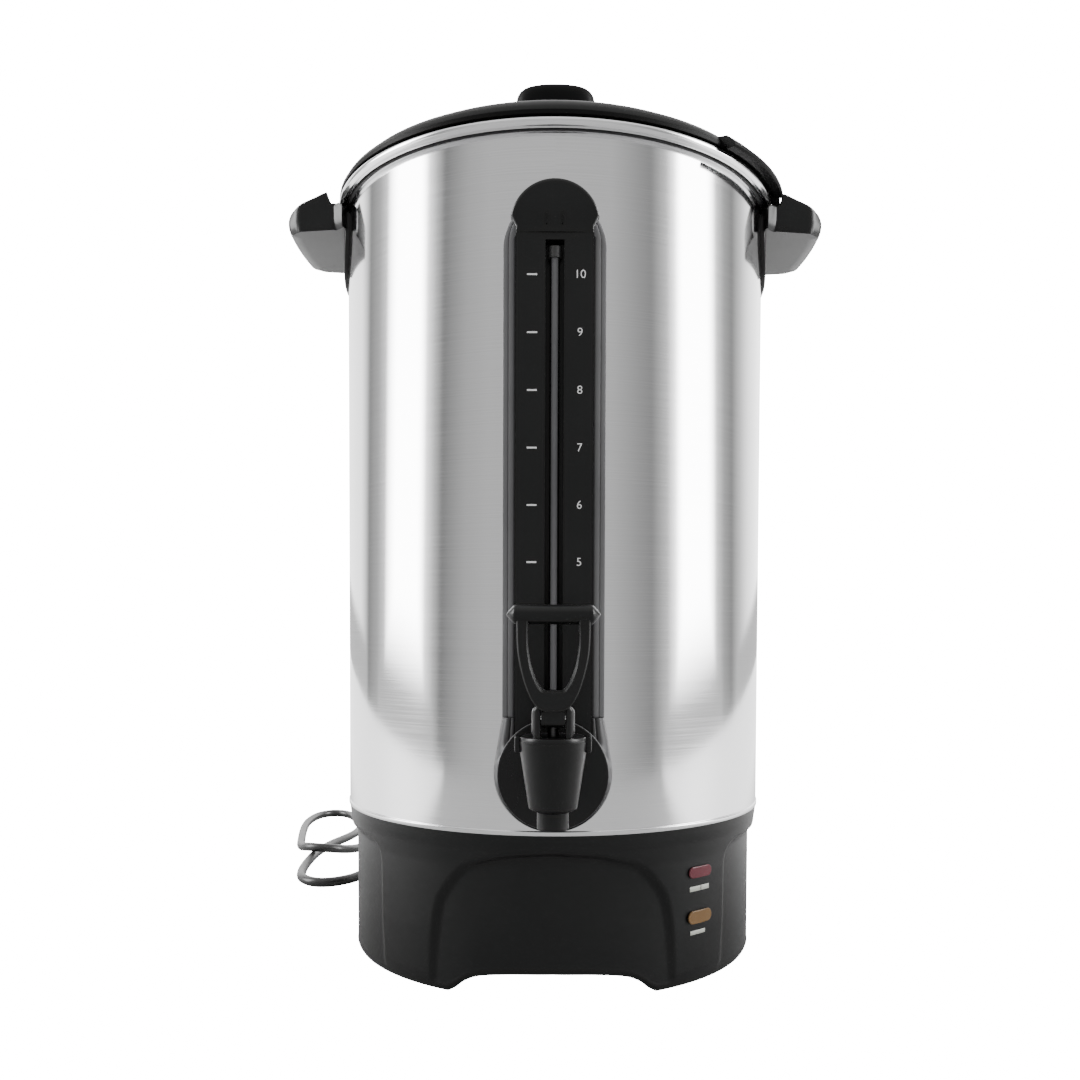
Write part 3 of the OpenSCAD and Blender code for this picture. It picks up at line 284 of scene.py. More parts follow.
# %% Node groups
def math_node(nodes, links, operation, *feeds):
    """A Math node fed in order by sockets or plain numbers. Gives its output."""
    node = nodes.new("ShaderNodeMath")
    node.operation = operation
    for inlet, feed in zip(node.inputs, feeds):
        if isinstance(feed, (int, float)):
            inlet.default_value = feed
        else:
            links.new(feed, inlet)
    return node.outputs[0]


def map_node(nodes, links, value, start, end, low=0.0, high=1.0, kind="LINEAR"):
    """The stretch of a value from start to end laid onto low to high."""
    node = nodes.new("ShaderNodeMapRange")
    node.interpolation_type = kind
    for label, number in (("From Min", start), ("From Max", end), ("To Min", low), ("To Max", high)):
        node.inputs[label].default_value = number
    links.new(value, node.inputs["Value"])
    return node.outputs["Result"]


def place_parts(nodes, links, kind="Object"):
    """X, Y and Z of a texture coordinate."""
    place = nodes.new("ShaderNodeTexCoord")
    parts = nodes.new("ShaderNodeSeparateXYZ")
    links.new(place.outputs[kind], parts.inputs[0])
    return parts.outputs


def bump_normal(nodes, links, height, strength, distance):
    """The normal of a height that reaches distance metres, weakened by a strength."""
    bump = nodes.new("ShaderNodeBump")
    bump.inputs["Distance"].default_value = distance
    links.new(strength, bump.inputs["Strength"])
    links.new(height, bump.inputs["Height"])
    return bump.outputs["Normal"]


def new_group(name, inputs, outputs):
    """An empty shader node group with named float inputs and named outputs."""
    group = bpy.data.node_groups.new(name, "ShaderNodeTree")
    for label, default in inputs:
        socket = group.interface.new_socket(name=label, in_out="INPUT", socket_type="NodeSocketFloat")
        socket.default_value = default
    for label, kind in outputs:
        group.interface.new_socket(name=label, in_out="OUTPUT", socket_type=kind)
    return group, group.nodes.new("NodeGroupInput"), group.nodes.new("NodeGroupOutput")


def grain_group():
    """Moulded grain: fine noise for the height, at a scale of 1000 / the grain size in mm, and
    broad soft noise for handling marks."""
    group, inlet, outlet = new_group(
        "moulded_grain", [("Grain size mm", 0.5), ("Depth", 0.2)],
        [("Normal", "NodeSocketVector"), ("Marks", "NodeSocketFloat")])
    nodes, links = group.nodes, group.links
    place = nodes.new("ShaderNodeTexCoord")
    fine = nodes.new("ShaderNodeTexNoise")
    fine.inputs["Detail"].default_value = 2
    links.new(place.outputs["Object"], fine.inputs["Vector"])
    links.new(math_node(nodes, links, "DIVIDE", 1000, inlet.outputs["Grain size mm"]),
              fine.inputs["Scale"])
    normal = bump_normal(nodes, links, fine.outputs["Fac"], inlet.outputs["Depth"], 0.0002)
    broad = nodes.new("ShaderNodeTexNoise")
    broad.inputs["Scale"].default_value = 22
    broad.inputs["Detail"].default_value = 5
    links.new(place.outputs["Object"], broad.inputs["Vector"])
    links.new(normal, outlet.inputs["Normal"])
    links.new(broad.outputs["Fac"], outlet.inputs["Marks"])
    return group


ROUND_RATE = 1.4
HEIGHT_RATE = 1600


def brush_group():
    """Lines brushed round a vessel: noise on (the angle round the axis, the height). The angle
    counts for little and the height for much, so the noise is drawn out into level lines."""
    group, inlet, outlet = new_group(
        "brushed_lines", [("Depth", 0.1)],
        [("Normal", "NodeSocketVector"), ("Lines", "NodeSocketFloat")])
    nodes, links = group.nodes, group.links
    parts = place_parts(nodes, links)
    angle = math_node(nodes, links, "ARCTAN2", parts["X"], parts["Y"])
    spot = nodes.new("ShaderNodeCombineXYZ")
    links.new(math_node(nodes, links, "MULTIPLY", angle, ROUND_RATE), spot.inputs["X"])
    links.new(math_node(nodes, links, "MULTIPLY", parts["Z"], HEIGHT_RATE), spot.inputs["Z"])
    lines = nodes.new("ShaderNodeTexNoise")
    lines.inputs["Scale"].default_value = 1
    lines.inputs["Detail"].default_value = 3
    links.new(spot.outputs[0], lines.inputs["Vector"])
    normal = bump_normal(nodes, links, lines.outputs["Fac"], inlet.outputs["Depth"], 0.00005)
    links.new(normal, outlet.inputs["Normal"])
    links.new(lines.outputs["Fac"], outlet.inputs["Lines"])
    return group


GRAIN = grain_group()
BRUSH = brush_group()
print("node groups:", GRAIN.name, BRUSH.name)

# %% Finish helpers
NOISE_LOW, NOISE_HIGH = 0.3, 0.7


def new_finish(name):
    """A material with its nodes, its links and its Principled shader."""
    material = bpy.data.materials.new(name)
    material.use_nodes = True
    tree = material.node_tree
    return material, tree.nodes, tree.links, tree.nodes["Principled BSDF"]


def tint(nodes, links, value, dark, light):
    """A colour that runs from dark to light as a noise value rises."""
    ramp = nodes.new("ShaderNodeValToRGB")
    for element, place, colour in zip(
            ramp.color_ramp.elements, (NOISE_LOW, NOISE_HIGH), (dark, light)):
        element.position = place
        element.color = (*colour, 1)
    links.new(value, ramp.inputs["Fac"])
    return ramp.outputs["Color"]


def surface(nodes, links, shader, group, settings, dark, light, rough):
    """Puts a node group before a shader. Its normal goes to the shader, and its noise sets the
    roughness and the colour that is handed back."""
    node = nodes.new("ShaderNodeGroup")
    node.node_tree = group
    for label, value in settings.items():
        node.inputs[label].default_value = value
    noise = node.outputs[1]
    links.new(node.outputs["Normal"], shader.inputs["Normal"])
    links.new(map_node(nodes, links, noise, NOISE_LOW, NOISE_HIGH, *rough), shader.inputs["Roughness"])
    return tint(nodes, links, noise, dark, light)


def plastic(name, dark, light, rough, grain_mm, depth, ior=1.5, sheen_metal=0.0):
    """Moulded plastic: a colour and a roughness that drift a little, over a fine grain."""
    material, nodes, links, shader = new_finish(name)
    settings = {"Grain size mm": grain_mm, "Depth": depth}
    colour = surface(nodes, links, shader, GRAIN, settings, dark, light, rough)
    links.new(colour, shader.inputs["Base Color"])
    shader.inputs["IOR"].default_value = ior
    shader.inputs["Metallic"].default_value = sheen_metal
    return material


def metal(name, dark, light, rough, depth, turned_grain=0.0):
    """Bare metal with brushed lines round the vertical axis. A turned grain also draws the
    highlights out along the lines."""
    material, nodes, links, shader = new_finish(name)
    colour = surface(nodes, links, shader, BRUSH, {"Depth": depth}, dark, light, rough)
    links.new(colour, shader.inputs["Base Color"])
    shader.inputs["Metallic"].default_value = 1
    if turned_grain:
        shader.inputs["Anisotropic"].default_value = turned_grain
        shader.inputs["Anisotropic Rotation"].default_value = 0.25
        tangent = nodes.new("ShaderNodeTangent")
        tangent.direction_type = "RADIAL"
        tangent.axis = "Z"
        links.new(tangent.outputs[0], shader.inputs["Tangent"])
    return material


def dress(piece, material):
    """Puts a material in every slot of a piece."""
    mesh = piece.data
    if not mesh.materials:
        mesh.materials.append(material)
    for i in range(len(mesh.materials)):
        mesh.materials[i] = material


print("finish helpers ready")

# %% [markdown]
# ## The finishes of this urn
# The wall is brushed steel, and the rim is polished. All the black plastic has the same colour:
# the gloss is what tells the tap from the base and the lid. A low index of refraction keeps the
# bright room from greying it. The rails and the skirt shine a little like metal, and the skirt's
# finish is the rails' made darker as painted shade. Each finish names its darkest and lightest
# colour, and then its smoothest and roughest spot.

# %% Finishes
JET = (0.003, 0.003, 0.003), (0.005, 0.005, 0.005)
brushed_steel = metal(
    "brushed_steel", (0.70, 0.70, 0.705), (0.76, 0.76, 0.765), (0.07, 0.11), 0.04, 0.3)
polished_steel = metal(
    "polished_steel", (0.74, 0.74, 0.745), (0.78, 0.78, 0.785), (0.12, 0.17), 0.02)
dark_steel = metal("dark_steel", (0.10, 0.10, 0.10), (0.14, 0.14, 0.14), (0.40, 0.50), 0.05)
plain_aluminium = metal(
    "plain_aluminium", (0.60, 0.60, 0.61), (0.70, 0.70, 0.71), (0.30, 0.40), 0.2)
brass = metal("brass", (0.60, 0.45, 0.20), (0.68, 0.52, 0.25), (0.2, 0.3), 0.1)
black_plastic = plastic("black_plastic", *JET, (0.26, 0.34), 0.45, 0.08, ior=1.33)
base_plastic = plastic("base_plastic", *JET, (0.32, 0.40), 0.5, 0.10, ior=1.33)
panel_plastic = plastic("panel_plastic", *JET, (0.34, 0.42), 0.4, 0.06, ior=1.33)
lid_plastic = plastic("lid_plastic", *JET, (0.38, 0.46), 0.45, 0.10, ior=1.14)
grey_plastic = plastic(
    "grey_plastic", (0.10, 0.10, 0.103), (0.12, 0.12, 0.123), (0.34, 0.40), 0.4, 0.05,
    sheen_metal=0.6)
# The skirt's finish is grey_plastic made darker: painted shade for the dimmer foot of the gauge
# column.
shaded_skirt_plastic = plastic(
    "shaded_skirt_plastic", (0.035, 0.035, 0.036), (0.045, 0.045, 0.046), (0.36, 0.42), 0.45, 0.10,
    sheen_metal=0.6)
label_print = plastic(
    "label_print", (0.30, 0.31, 0.27), (0.36, 0.37, 0.33), (0.4, 0.5), 0.5, 0.05)
pale_plastic = plastic(
    "pale_plastic", (0.55, 0.54, 0.50), (0.62, 0.61, 0.57), (0.4, 0.5), 0.5, 0.05)
white_print = plastic(
    "white_print", (0.62, 0.62, 0.62), (0.70, 0.70, 0.70), (0.5, 0.6), 0.2, 0.03)
red_lens = plastic(
    "red_lens", (0.055, 0.009, 0.014), (0.10, 0.018, 0.026), (0.16, 0.24), 1.2, 0.05, ior=1.4)
amber_lens = plastic(
    "amber_lens", (0.105, 0.058, 0.020), (0.14, 0.078, 0.030), (0.16, 0.24), 1.2, 0.05, ior=1.4)
black_rubber = plastic(
    "black_rubber", (0.012, 0.012, 0.012), (0.018, 0.018, 0.018), (0.5, 0.62), 0.3, 0.15)
lead_rubber = plastic(
    "lead_rubber", (0.014, 0.014, 0.014), (0.022, 0.022, 0.022), (0.34, 0.42), 0.25, 0.08)
# Where the painted highlight down the middle of the sight glass gives way to its painted dark sides.
GLINT_EDGE = 1.2 * MM, 1.75 * MM


def glass_with_painted_glint():
    """Sight glass with a painted highlight: a grey band down its middle stands for the glass's
    bright reflection, and painted shade darkens its sides, by the distance from the middle plane,
    under a smooth gloss."""
    material, nodes, links, shader = new_finish("sight_glass")
    aside = math_node(nodes, links, "ABSOLUTE", place_parts(nodes, links)["X"])
    painted_glint = surface(nodes, links, shader, GRAIN, {"Grain size mm": 4, "Depth": 0.02},
                     (0.10, 0.10, 0.105), (0.13, 0.13, 0.135), (0.10, 0.16))
    shade = nodes.new("ShaderNodeMix")
    shade.data_type = "RGBA"
    links.new(map_node(nodes, links, aside, *GLINT_EDGE, kind="SMOOTHSTEP"), shade.inputs["Factor"])
    links.new(painted_glint, shade.inputs["A"])
    shade.inputs["B"].default_value = (*JET[0], 1)
    links.new(shade.outputs["Result"], shader.inputs["Base Color"])
    shader.inputs["IOR"].default_value = 1.33
    return material


sight_glass = glass_with_painted_glint()
node_finish = [
    (brushed_steel, "outer_shell inner_vessel"),
    (polished_steel, "rim_ring base_screws vessel_studs stud_nuts handle_screws"),
    (polished_steel, "tap_nut lever_pin knob_screw"),
    (dark_steel, "tap_spring valve_stem"),
    (plain_aluminium, "bottom_plate heater_plate heater_tube"),
    (plain_aluminium, "pump_tube coffee_basket basket_cover"),
    (brass, "gauge_banjo plug_pins"),
    (black_plastic, "thermostat thermal_cutout handle_left handle_right gauge_cap"),
    (black_plastic, "tap_flange tap_body bonnet tap_lever lid_knob"),
    (base_plastic, "base_housing"),
    (panel_plastic, "gauge_panel"),
    (lid_plastic, "lid_shell"),
    (grey_plastic, "gauge_frame tap_skirt"),
    (pale_plastic, "terminal_block"),
    (red_lens, "red_lamp"),
    (amber_lens, "amber_lamp"),
    (sight_glass, "sight_tube"),
    (black_rubber, "rubber_feet tube_top_seal tube_bottom_seal tap_washers"),
    (black_rubber, "seat_cup lid_seal cord_gland plug_body"),
    (lead_rubber, "cord_tube cord_coil"),
]
dressed = 0
for material, names in node_finish:
    for node in names.split():
        dress(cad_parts[node], material)
        dressed += 1
dress(lead, lead_rubber)
dress(plug, black_rubber)
print("dressed", dressed, "of", len(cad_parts), "nodes")

# %% [markdown]
# ## Walls and rim
# The shell's gloss shows the least facet, so it is turned again with many more steps. It keeps
# the thickness of the sheet and the folded hem at its foot. The rim is a rolled bead. The dark
# line under it, where the wall runs into the roll, is painted shadow: a thin black ring set in
# the gap. A turned profile is the natural way, because wall and rim are the same all the way round.

# %% Walls
SHELL_R = 115
SHEET = 0.5
VESSEL_R = 112
WALL_TOP = 404
BASE_TOP = 80
RIM_TOP = 407
WALL_STEPS = 512
BEAD_CENTRE = 117.6, 404.6
BEAD_R = 2.4
shell_profile = rounded([
    [SHELL_R - SHEET, BASE_TOP], [SHELL_R + SHEET, BASE_TOP], [SHELL_R + SHEET, 82],
    [SHELL_R, 82.3], [SHELL_R, WALL_TOP], [SHELL_R - SHEET, WALL_TOP]],
    [0.2, 0.3, 0.3, 0.2, 0.1, 0.1], 4)
shell = turned_piece("steel_wall", shell_profile, "urn", WALL_STEPS)
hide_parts("outer_shell")
dress(shell, brushed_steel)
bead = np.linspace(math.radians(-215), math.radians(140), 28)
rim_profile = np.vstack([
    np.stack([BEAD_CENTRE[0] + BEAD_R * np.cos(bead), BEAD_CENTRE[1] + BEAD_R * np.sin(bead)], -1),
    [[VESSEL_R, RIM_TOP], [VESSEL_R, WALL_TOP]]])
rim = turned_piece("rolled_rim", rim_profile, "urn", WALL_STEPS)
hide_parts("rim_ring")
dress(rim, polished_steel)
# A thin black ring in the gap under the bead: painted shadow of the rolled rim.
shadow_ring_profile = [[114.9, 402.0], [115.4, 402.1], [115.4, 403.8], [114.9, 403.8]]
shadow_ring = turned_piece("rim_shadow_ring", shadow_ring_profile, "urn", WALL_STEPS)
dress(shadow_ring, black_rubber)
print("walls:", len(shell.data.polygons), "and", len(rim.data.polygons), "faces")

# %% [markdown]
# ## The moulded base
# The base is one skin: a radius for every angle and height. The recesses at the front, the rear
# and the sides are sunk by a smooth step of the distance to their outlines, and the bottom edge
# follows one curve where the arch is cut from it. Boolean cuts would leave hard edges that need a
# bevel each. With the distance known, the soft edge comes with the shape.

# %% Base skin
def distance_inside(x, z, outline):
    """Signed distance from points to a closed outline, positive inside: the least distance to
    any of its edges, with the sign from how often a level ray crosses it."""
    a = np.asarray(outline, float)
    b = np.roll(a, -1, 0)
    point = np.stack([x, z], -1)[..., None, :]
    edge = b - a
    along = ((point - a) * edge).sum(-1) / (edge ** 2).sum(-1)
    near = a + np.clip(along, 0, 1)[..., None] * edge
    distance = np.linalg.norm(point - near, axis=-1).min(-1)
    crosses = (a[:, 1] > z[..., None]) != (b[:, 1] > z[..., None])
    rise = np.where(edge[:, 1] == 0, 1, edge[:, 1])
    side = a[:, 0] + (z[..., None] - a[:, 1]) * edge[:, 0] / rise
    inside = (crosses & (x[..., None] < side)).sum(-1) % 2 == 1
    return np.where(inside, distance, -distance)


def eased(value):
    """0 below 0, 1 above 1, and 3v^2 - 2v^3 between."""
    v = np.clip(value, 0, 1)
    return v * v * (3 - 2 * v)


def mirrored(half):
    """A right-hand outline and its mirror image as one closed outline."""
    half = np.asarray(half, float)
    other = half[::-1] * [-1, 1]
    return np.vstack([half, other[half[::-1, 0] > 0]])


RECESS = rounded(mirrored([
    [0, 71.2], [22, 69.5], [42, 64.3], [49.5, 56], [55.5, 46], [57.8, 32], [59, 13], [59, -20]]), 5, 5)
SIDE_RECESS = rounded([[-72, -20], [72, -20], [72, 68.5], [-72, 68.5]], [1, 1, 12, 12], 8)
CUT = through(np.array([[0, 12.8], [20, 12.2], [36, 10.3], [44, 7.2], [49, 3.2], [53, 0.8]]), 6)
EDGE_LOW = 0.8
LIP_HIGH = 2.6
SUNK_R = 110.8
BASE_STEPS = 720
FOOT_CIRCLE_R = 101
FOOT_DEG = 38


def base_skin(steps):
    """x = r cos t, y = r sin t. Rows run up the outside, over the top and down the inside."""
    t = np.linspace(0, 2 * math.pi, steps, endpoint=False)
    across = np.abs(SHELL_R * np.cos(t))
    facing = np.abs(np.sin(t)) > 0.7
    low = np.where(facing, np.interp(across, CUT[:, 0], CUT[:, 1], right=EDGE_LOW), EDGE_LOW)
    lip = np.array([[108, 1.5], [108.3, 0.5], [109, 0], [109.9, 0.3], [110.5, 1.2], [111, LIP_HIGH]])
    rows_r, rows_z = [], []
    for r, up in lip:
        rows_r.append(np.full(steps, r))
        rows_z.append(low + up)
    for share in np.linspace(0, 1, 66)[1:]:
        z = low + LIP_HIGH + (BASE_TOP - low - LIP_HIGH) * share
        outer = np.interp(z, [2, 8, 30, 64, 72, 76, 80], [110.6, 112, 113, 113.4, 114, 114.6, 115])
        x = outer * np.cos(t)
        y = outer * np.sin(t)
        front = eased((distance_inside(x, z, RECESS) + 1.5) / 4) * (np.abs(y) > 60)
        side = eased((distance_inside(y, z, SIDE_RECESS) + 1.5) / 4) * (np.abs(x) > 60)
        sunk = np.minimum(outer, SUNK_R)
        rows_r.append(outer + (sunk - outer) * np.maximum(front, side))
        rows_z.append(z)
    for r, z in [(112.5, 80), (112.5, 78), (98, 78), (98, 75), (108, 75)]:
        rows_r.append(np.full(steps, r))
        rows_z.append(np.full(steps, float(z)))
    r = np.array(rows_r)
    z = np.array(rows_z)
    return np.stack([r * np.cos(t), r * np.sin(t), z], -1)


skin = base_skin(BASE_STEPS)
base = add_piece("base_moulding", skin, grid_faces(len(skin), BASE_STEPS, wrap_rows=True), "urn",
                 smooth_angle=50)
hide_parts("base_housing")
dress(base, base_plastic)
foot_angles = np.radians([-90 - FOOT_DEG, -90 + FOOT_DEG, 90 - FOOT_DEG, 90 + FOOT_DEG])
boss_profile = rounded([[0, 2.5], [6.6, 2.5], [8, 14], [0, 14]], [0.1, 1, 0.5, 0.1], 4)
for number, angle in enumerate(foot_angles):
    centre = (FOOT_CIRCLE_R * math.cos(angle), FOOT_CIRCLE_R * math.sin(angle))
    boss = turned_piece(f"foot_boss_{number + 1}", boss_profile, "urn", 48, centre)
    dress(boss, base_plastic)
print("base skin", skin.shape[0], "rows by", skin.shape[1])

# %% [markdown]
# ## Plastic parts with eased edges
# Moulded plastic never has a knife edge. Where the CAD solid already has the right form, a copy
# with a small bevel is enough: the bevel catches the light as the real edge does, and the sizes
# stay those of the solid.

# %% Eased copies
eased_parts = [
    ("gauge_panel", 0.5, "urn", "plastic_panel", panel_plastic),
    ("tap_flange", 0.5, "urn", "plastic_black", black_plastic),
    ("tap_body", 0.5, "urn", "plastic_black", black_plastic),
    ("lid_shell", 0.8, "lid", "plastic_black", lid_plastic),
    ("red_lamp", 0.7, "urn", "lens_red", red_lens),
    ("amber_lamp", 0.7, "urn", "lens_amber", amber_lens),
]
for node, width, body, slot, material in eased_parts:
    dress(softened(node, width, body), material)
print("eased", len(eased_parts), "parts")

# %% [markdown]
# ## Bands, layers and pillows
# Three shapes come back again and again in moulded parts. A band fills the space between two
# outlines and has the same section all along. A layered piece is a stack of closed outlines,
# each a little smaller where an edge is soft. A pillow is such a stack along the x axis, with one
# soft edge.

# %% Moulded shapes
def band(outer, inner, section):
    """Every section point (u, d) becomes outer (1-u) + inner u, at the distance d in front of the
    axis. u and d are one number each or one for every point of the outlines (x, z)."""
    outer = np.asarray(outer, float)
    inner = np.asarray(inner, float)
    rows = []
    for u, d in section:
        u = np.broadcast_to(u, len(outer))[:, None]
        flat = outer * (1 - u) + inner * u
        rows.append(np.stack([flat[:, 0], -np.broadcast_to(d, len(outer)), flat[:, 1]], -1))
    return np.array(rows)


def band_piece(name, outer, inner, section, body, smooth_angle=30):
    """A band as a closed solid with a flat end at each end of its outlines."""
    grid = band(outer, inner, section)
    rows, cols = grid.shape[:2]
    first = [r * cols for r in range(rows)]
    last = [r * cols + cols - 1 for r in range(rows)]
    faces = grid_faces(rows, cols, wrap_rows=True, wrap_cols=False)
    return add_piece(name, grid, faces, body, caps=[first, last], smooth_angle=smooth_angle)


def on_shell(x, gap=0.03):
    """The distance in front of the axis at which the shell lies behind a point x."""
    return np.sqrt((SHELL_R + gap) ** 2 - np.asarray(x, float) ** 2)


def layered_piece(name, layers, body, smooth_angle=35):
    """A closed solid from closed outlines stacked in space, with a face over each end."""
    grid = np.array(layers, float)
    rows, cols = grid.shape[:2]
    top = (rows - 1) * cols
    ends = [list(range(cols)), list(range(top, top + cols))]
    return add_piece(name, grid, grid_faces(rows, cols), body, ends, smooth_angle)


def pillow(outline, x0, x1, ease, steps=8):
    """Layers of an outline (y, z) from x0 to x1. Near x1 it draws in along a quarter circle."""
    p = np.asarray(outline, float)
    middle = (p.max(0) + p.min(0)) / 2
    half = (p.max(0) - p.min(0)) / 2
    sign = math.copysign(1, x1 - x0)
    turn = np.linspace(0, math.pi / 2, steps)
    places = [(x0, 0.25), (x0 + sign * 0.25, 0)]
    places += list(zip(x1 - sign * ease * (1 - np.sin(turn)), ease * (1 - np.cos(turn))))
    layers = []
    for x, inset in places:
        flat = middle + (p - middle) * (1 - inset / half)
        layers.append(np.stack([np.full(len(p), x), flat[:, 0], flat[:, 1]], -1))
    return layers


def arc(centre, radius, start, end, steps):
    """Points of an arc: centre + r (cos a, sin a), with a from start to end in degrees."""
    a = np.radians(np.linspace(start, end, steps))
    return np.stack([centre[0] + radius * np.cos(a), centre[1] + radius * np.sin(a)], -1)


print("moulded shapes ready")

# %% [markdown]
# ## Gauge frame, cap and skirt
# The frame is an arch on two rails, with a fine groove all along. The skirt goes round the tap
# and is rounded at its outer edge, so it has a bright streak on each side. Both could be curves
# with a bevel profile, but their backs have to follow the round shell, which a band does point by
# point. The cap is a low dome that runs down flush into the panel.

# %% Frame, skirt and cap
FRAME_HALF, PANEL_HALF = 23.4, 17.65
FRAME_ARCH_Z, PANEL_ARCH_Z = 348, 352
JOINT_Z = 135.7
JOINT_GAP = 0.15
RAIL_MIDDLE_Z = 240
TAP_Z = 110
PANEL_FRONT = 123
SKIRT_R, DISC_R = 27.3, 25.45


def arch_line(half, arch_z):
    """Up the left rail, over the arch and down the right rail."""
    foot = JOINT_Z + JOINT_GAP
    return np.vstack([
        [[-half, foot], [-half, RAIL_MIDDLE_Z]], arc((0, arch_z), half, 180, 0, 72),
        [[half, RAIL_MIDDLE_Z], [half, foot]]])


frame_out = arch_line(FRAME_HALF, FRAME_ARCH_Z)
frame_in = arch_line(PANEL_HALF, PANEL_ARCH_Z)
frame_section = [
    (0, on_shell(frame_out[:, 0])), (0, 118.4), (0.02, 118.5), (0.38, 118.8), (0.40, 118.5),
    (0.43, 118.5), (0.45, 119.0), (0.60, 119.35), (0.75, 119.5), (0.97, 119.5),
    (1.0, 119.3), (1.0, on_shell(frame_in[:, 0]))]
column = band_piece("gauge_rails", frame_out, frame_in, frame_section, "urn", 50)
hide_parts("gauge_frame")
dress(column, grey_plastic)

skirt_out = np.vstack([
    [[-FRAME_HALF, JOINT_Z], [-24.6, 129], [-25.9, 121]], arc((0, TAP_Z), SKIRT_R, 170.6, 369.4, 90),
    [[25.9, 121], [24.6, 129], [FRAME_HALF, JOINT_Z]]])
skirt_in = np.vstack([
    [[-PANEL_HALF, JOINT_Z], [-PANEL_HALF, 132], [-PANEL_HALF, 129.5]],
    arc((0, TAP_Z), DISC_R, 134.0, 406.0, 90),
    [[PANEL_HALF, 129.5], [PANEL_HALF, 132], [PANEL_HALF, JOINT_Z]]])
skirt_section = [
    (0, on_shell(skirt_out[:, 0])), (0, 118.2), (0.08, 119.6), (0.22, 121.0), (0.42, 122.1),
    (0.62, 122.6), (0.70, 122.5), (0.74, 122.3), (0.80, 122.6), (0.86, 122.9), (0.96, 122.9),
    (1.0, 122.6), (1.0, on_shell(skirt_in[:, 0]))]
skirt = band_piece("round_skirt", skirt_out, skirt_in, skirt_section, "urn", 50)
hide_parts("tap_skirt")
dress(skirt, shaded_skirt_plastic)
CAP_LOW = 353.6
cap_side = np.array([[17.5, CAP_LOW], [17.5, 356.6], [18.6, 358.6], [19.9, 361.2]])
cap_line = np.vstack([cap_side, arc((0, 357.1), 20.3, 11.6, 168.4, 72), cap_side[::-1] * [-1, 1]])


def level_ring(name, x, z, low_r, high_r, back, front, steps=160):
    """A thin ring round a level axis at (x, z): small and large radius, back and front."""
    a = np.linspace(0, 2 * math.pi, steps, endpoint=False)
    section = [(low_r, back), (low_r, front), (low_r + 0.12, front + 0.1), (high_r, front - 0.1),
               (high_r, back)]
    rows = [np.stack([x + r * np.cos(a), np.full(steps, -float(d)), z + r * np.sin(a)], -1)
            for r, d in section]
    faces = grid_faces(len(section), steps, wrap_rows=True)
    return add_piece(name, np.array(rows), faces, "urn")


def cap_layers():
    """The outline drawn in towards the middle of its lower edge. The front is flush with the panel
    below, rises 0.8 mm by an eased step, and rounds off over the last 1.4 mm at the edge."""
    centre = np.array([0, CAP_LOW])
    layers = [np.stack([cap_line[:, 0], -on_shell(cap_line[:, 0]), cap_line[:, 1]], -1)]
    for share in [1, 0.995, 0.985, 0.97, 0.95, 0.93, 0.9, 0.8, 0.65, 0.5, 0.35, 0.2, 0.1, 0.02]:
        flat = centre + (cap_line - centre) * share
        edge = 1.4 * (1 - np.sqrt(1 - np.clip((share - 0.93) / 0.07, 0, 1) ** 2))
        edge = edge * eased((flat[:, 1] - CAP_LOW) / 3)
        rise = 0.04 + 0.8 * eased((flat[:, 1] - CAP_LOW - 1) / 12) + 0.5 * (1 - share)
        layers.append(np.stack([flat[:, 0], -(PANEL_FRONT + rise - edge), flat[:, 1]], -1))
    return layers


cap = layered_piece("gauge_dome", cap_layers(), "urn", 60)
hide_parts("gauge_cap")
dress(cap, black_plastic)
for number, x in enumerate([-3.7, 3.4]):
    rib = [[x - 0.35, 356.6], [x + 0.35, 356.6], [x + 0.35, 362.2], [x - 0.35, 362.2]]
    tip = [[x - 0.08, 357.2], [x + 0.08, 357.2], [x + 0.08, 361.6], [x - 0.08, 361.6]]
    mark = layered_piece(f"cap_mark_{number + 1}", [
        [[a, -123.2, b] for a, b in rib], [[a, -124.45, b] for a, b in tip]], "urn")
    dress(mark, black_plastic)
disc_rim = level_ring("disc_rim", 0, TAP_Z, 25.0, DISC_R, 123.4, 124.1)
dress(disc_rim, grey_plastic)
print("rails, skirt and cap:", [len(piece.data.polygons) for piece in (column, skirt, cap)], "faces")

# %% [markdown]
# ## Tap bonnet and lever
# The lever is a flat loop with chamfered edges, joined by a neck to the pin between two rounded
# cheeks. A bar with pointed ends crosses its top, and two tines at its back lift the valve stem.
# The loop is a band whose chamfer widens towards its foot, which one bevel width could not do.
# The cheeks, the neck and the tines are pillows, so their outer edges are soft.

# %% Bonnet and cheeks
TAP_Y = -153
CHEEK_IN, CHEEK_OUT = 5.3, 9.1
LUG_IN, LUG_OUT = 13.2, 16.3
bonnet_cap = turned_piece("bonnet_cap", [
    [0, 122.2], [8.3, 122.2], [8.3, 129.0], [14.5, 129.0], [14.6, 130.3], [14.3, 130.8],
    [13.7, 131.0], [0, 131.0]], "urn", 128, (0, TAP_Y))
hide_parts("bonnet")
dress(bonnet_cap, black_plastic)
cheek_line = np.vstack([
    [[-164.5, 130.9], [-164.5, 142.6]], arc((-162.9, 142.9), 1.6, 180, 90, 8),
    [[-157, 144.5], [-151, 143.4], [-146.5, 139.5], [-146, 138.6], [-146, 130.9]]])
lug_line = rounded([[-156.8, 124.2], [-149.4, 124.2], [-149.4, 131.1], [-156.8, 131.1]], 0.9, 4)
for side, word in ((-1, "left"), (1, "right")):
    layers = pillow(cheek_line, side * CHEEK_IN, side * CHEEK_OUT, 3.4)
    cheek = layered_piece("bonnet_cheek_" + word, layers, "urn", 50)
    dress(cheek, black_plastic)
    layers = pillow(lug_line, side * LUG_IN, side * LUG_OUT, 0.7)
    lug = layered_piece("bonnet_lug_" + word, layers, "urn", 50)
    dress(lug, black_plastic)
print("cheeks:", len(cheek.data.polygons), "faces each")

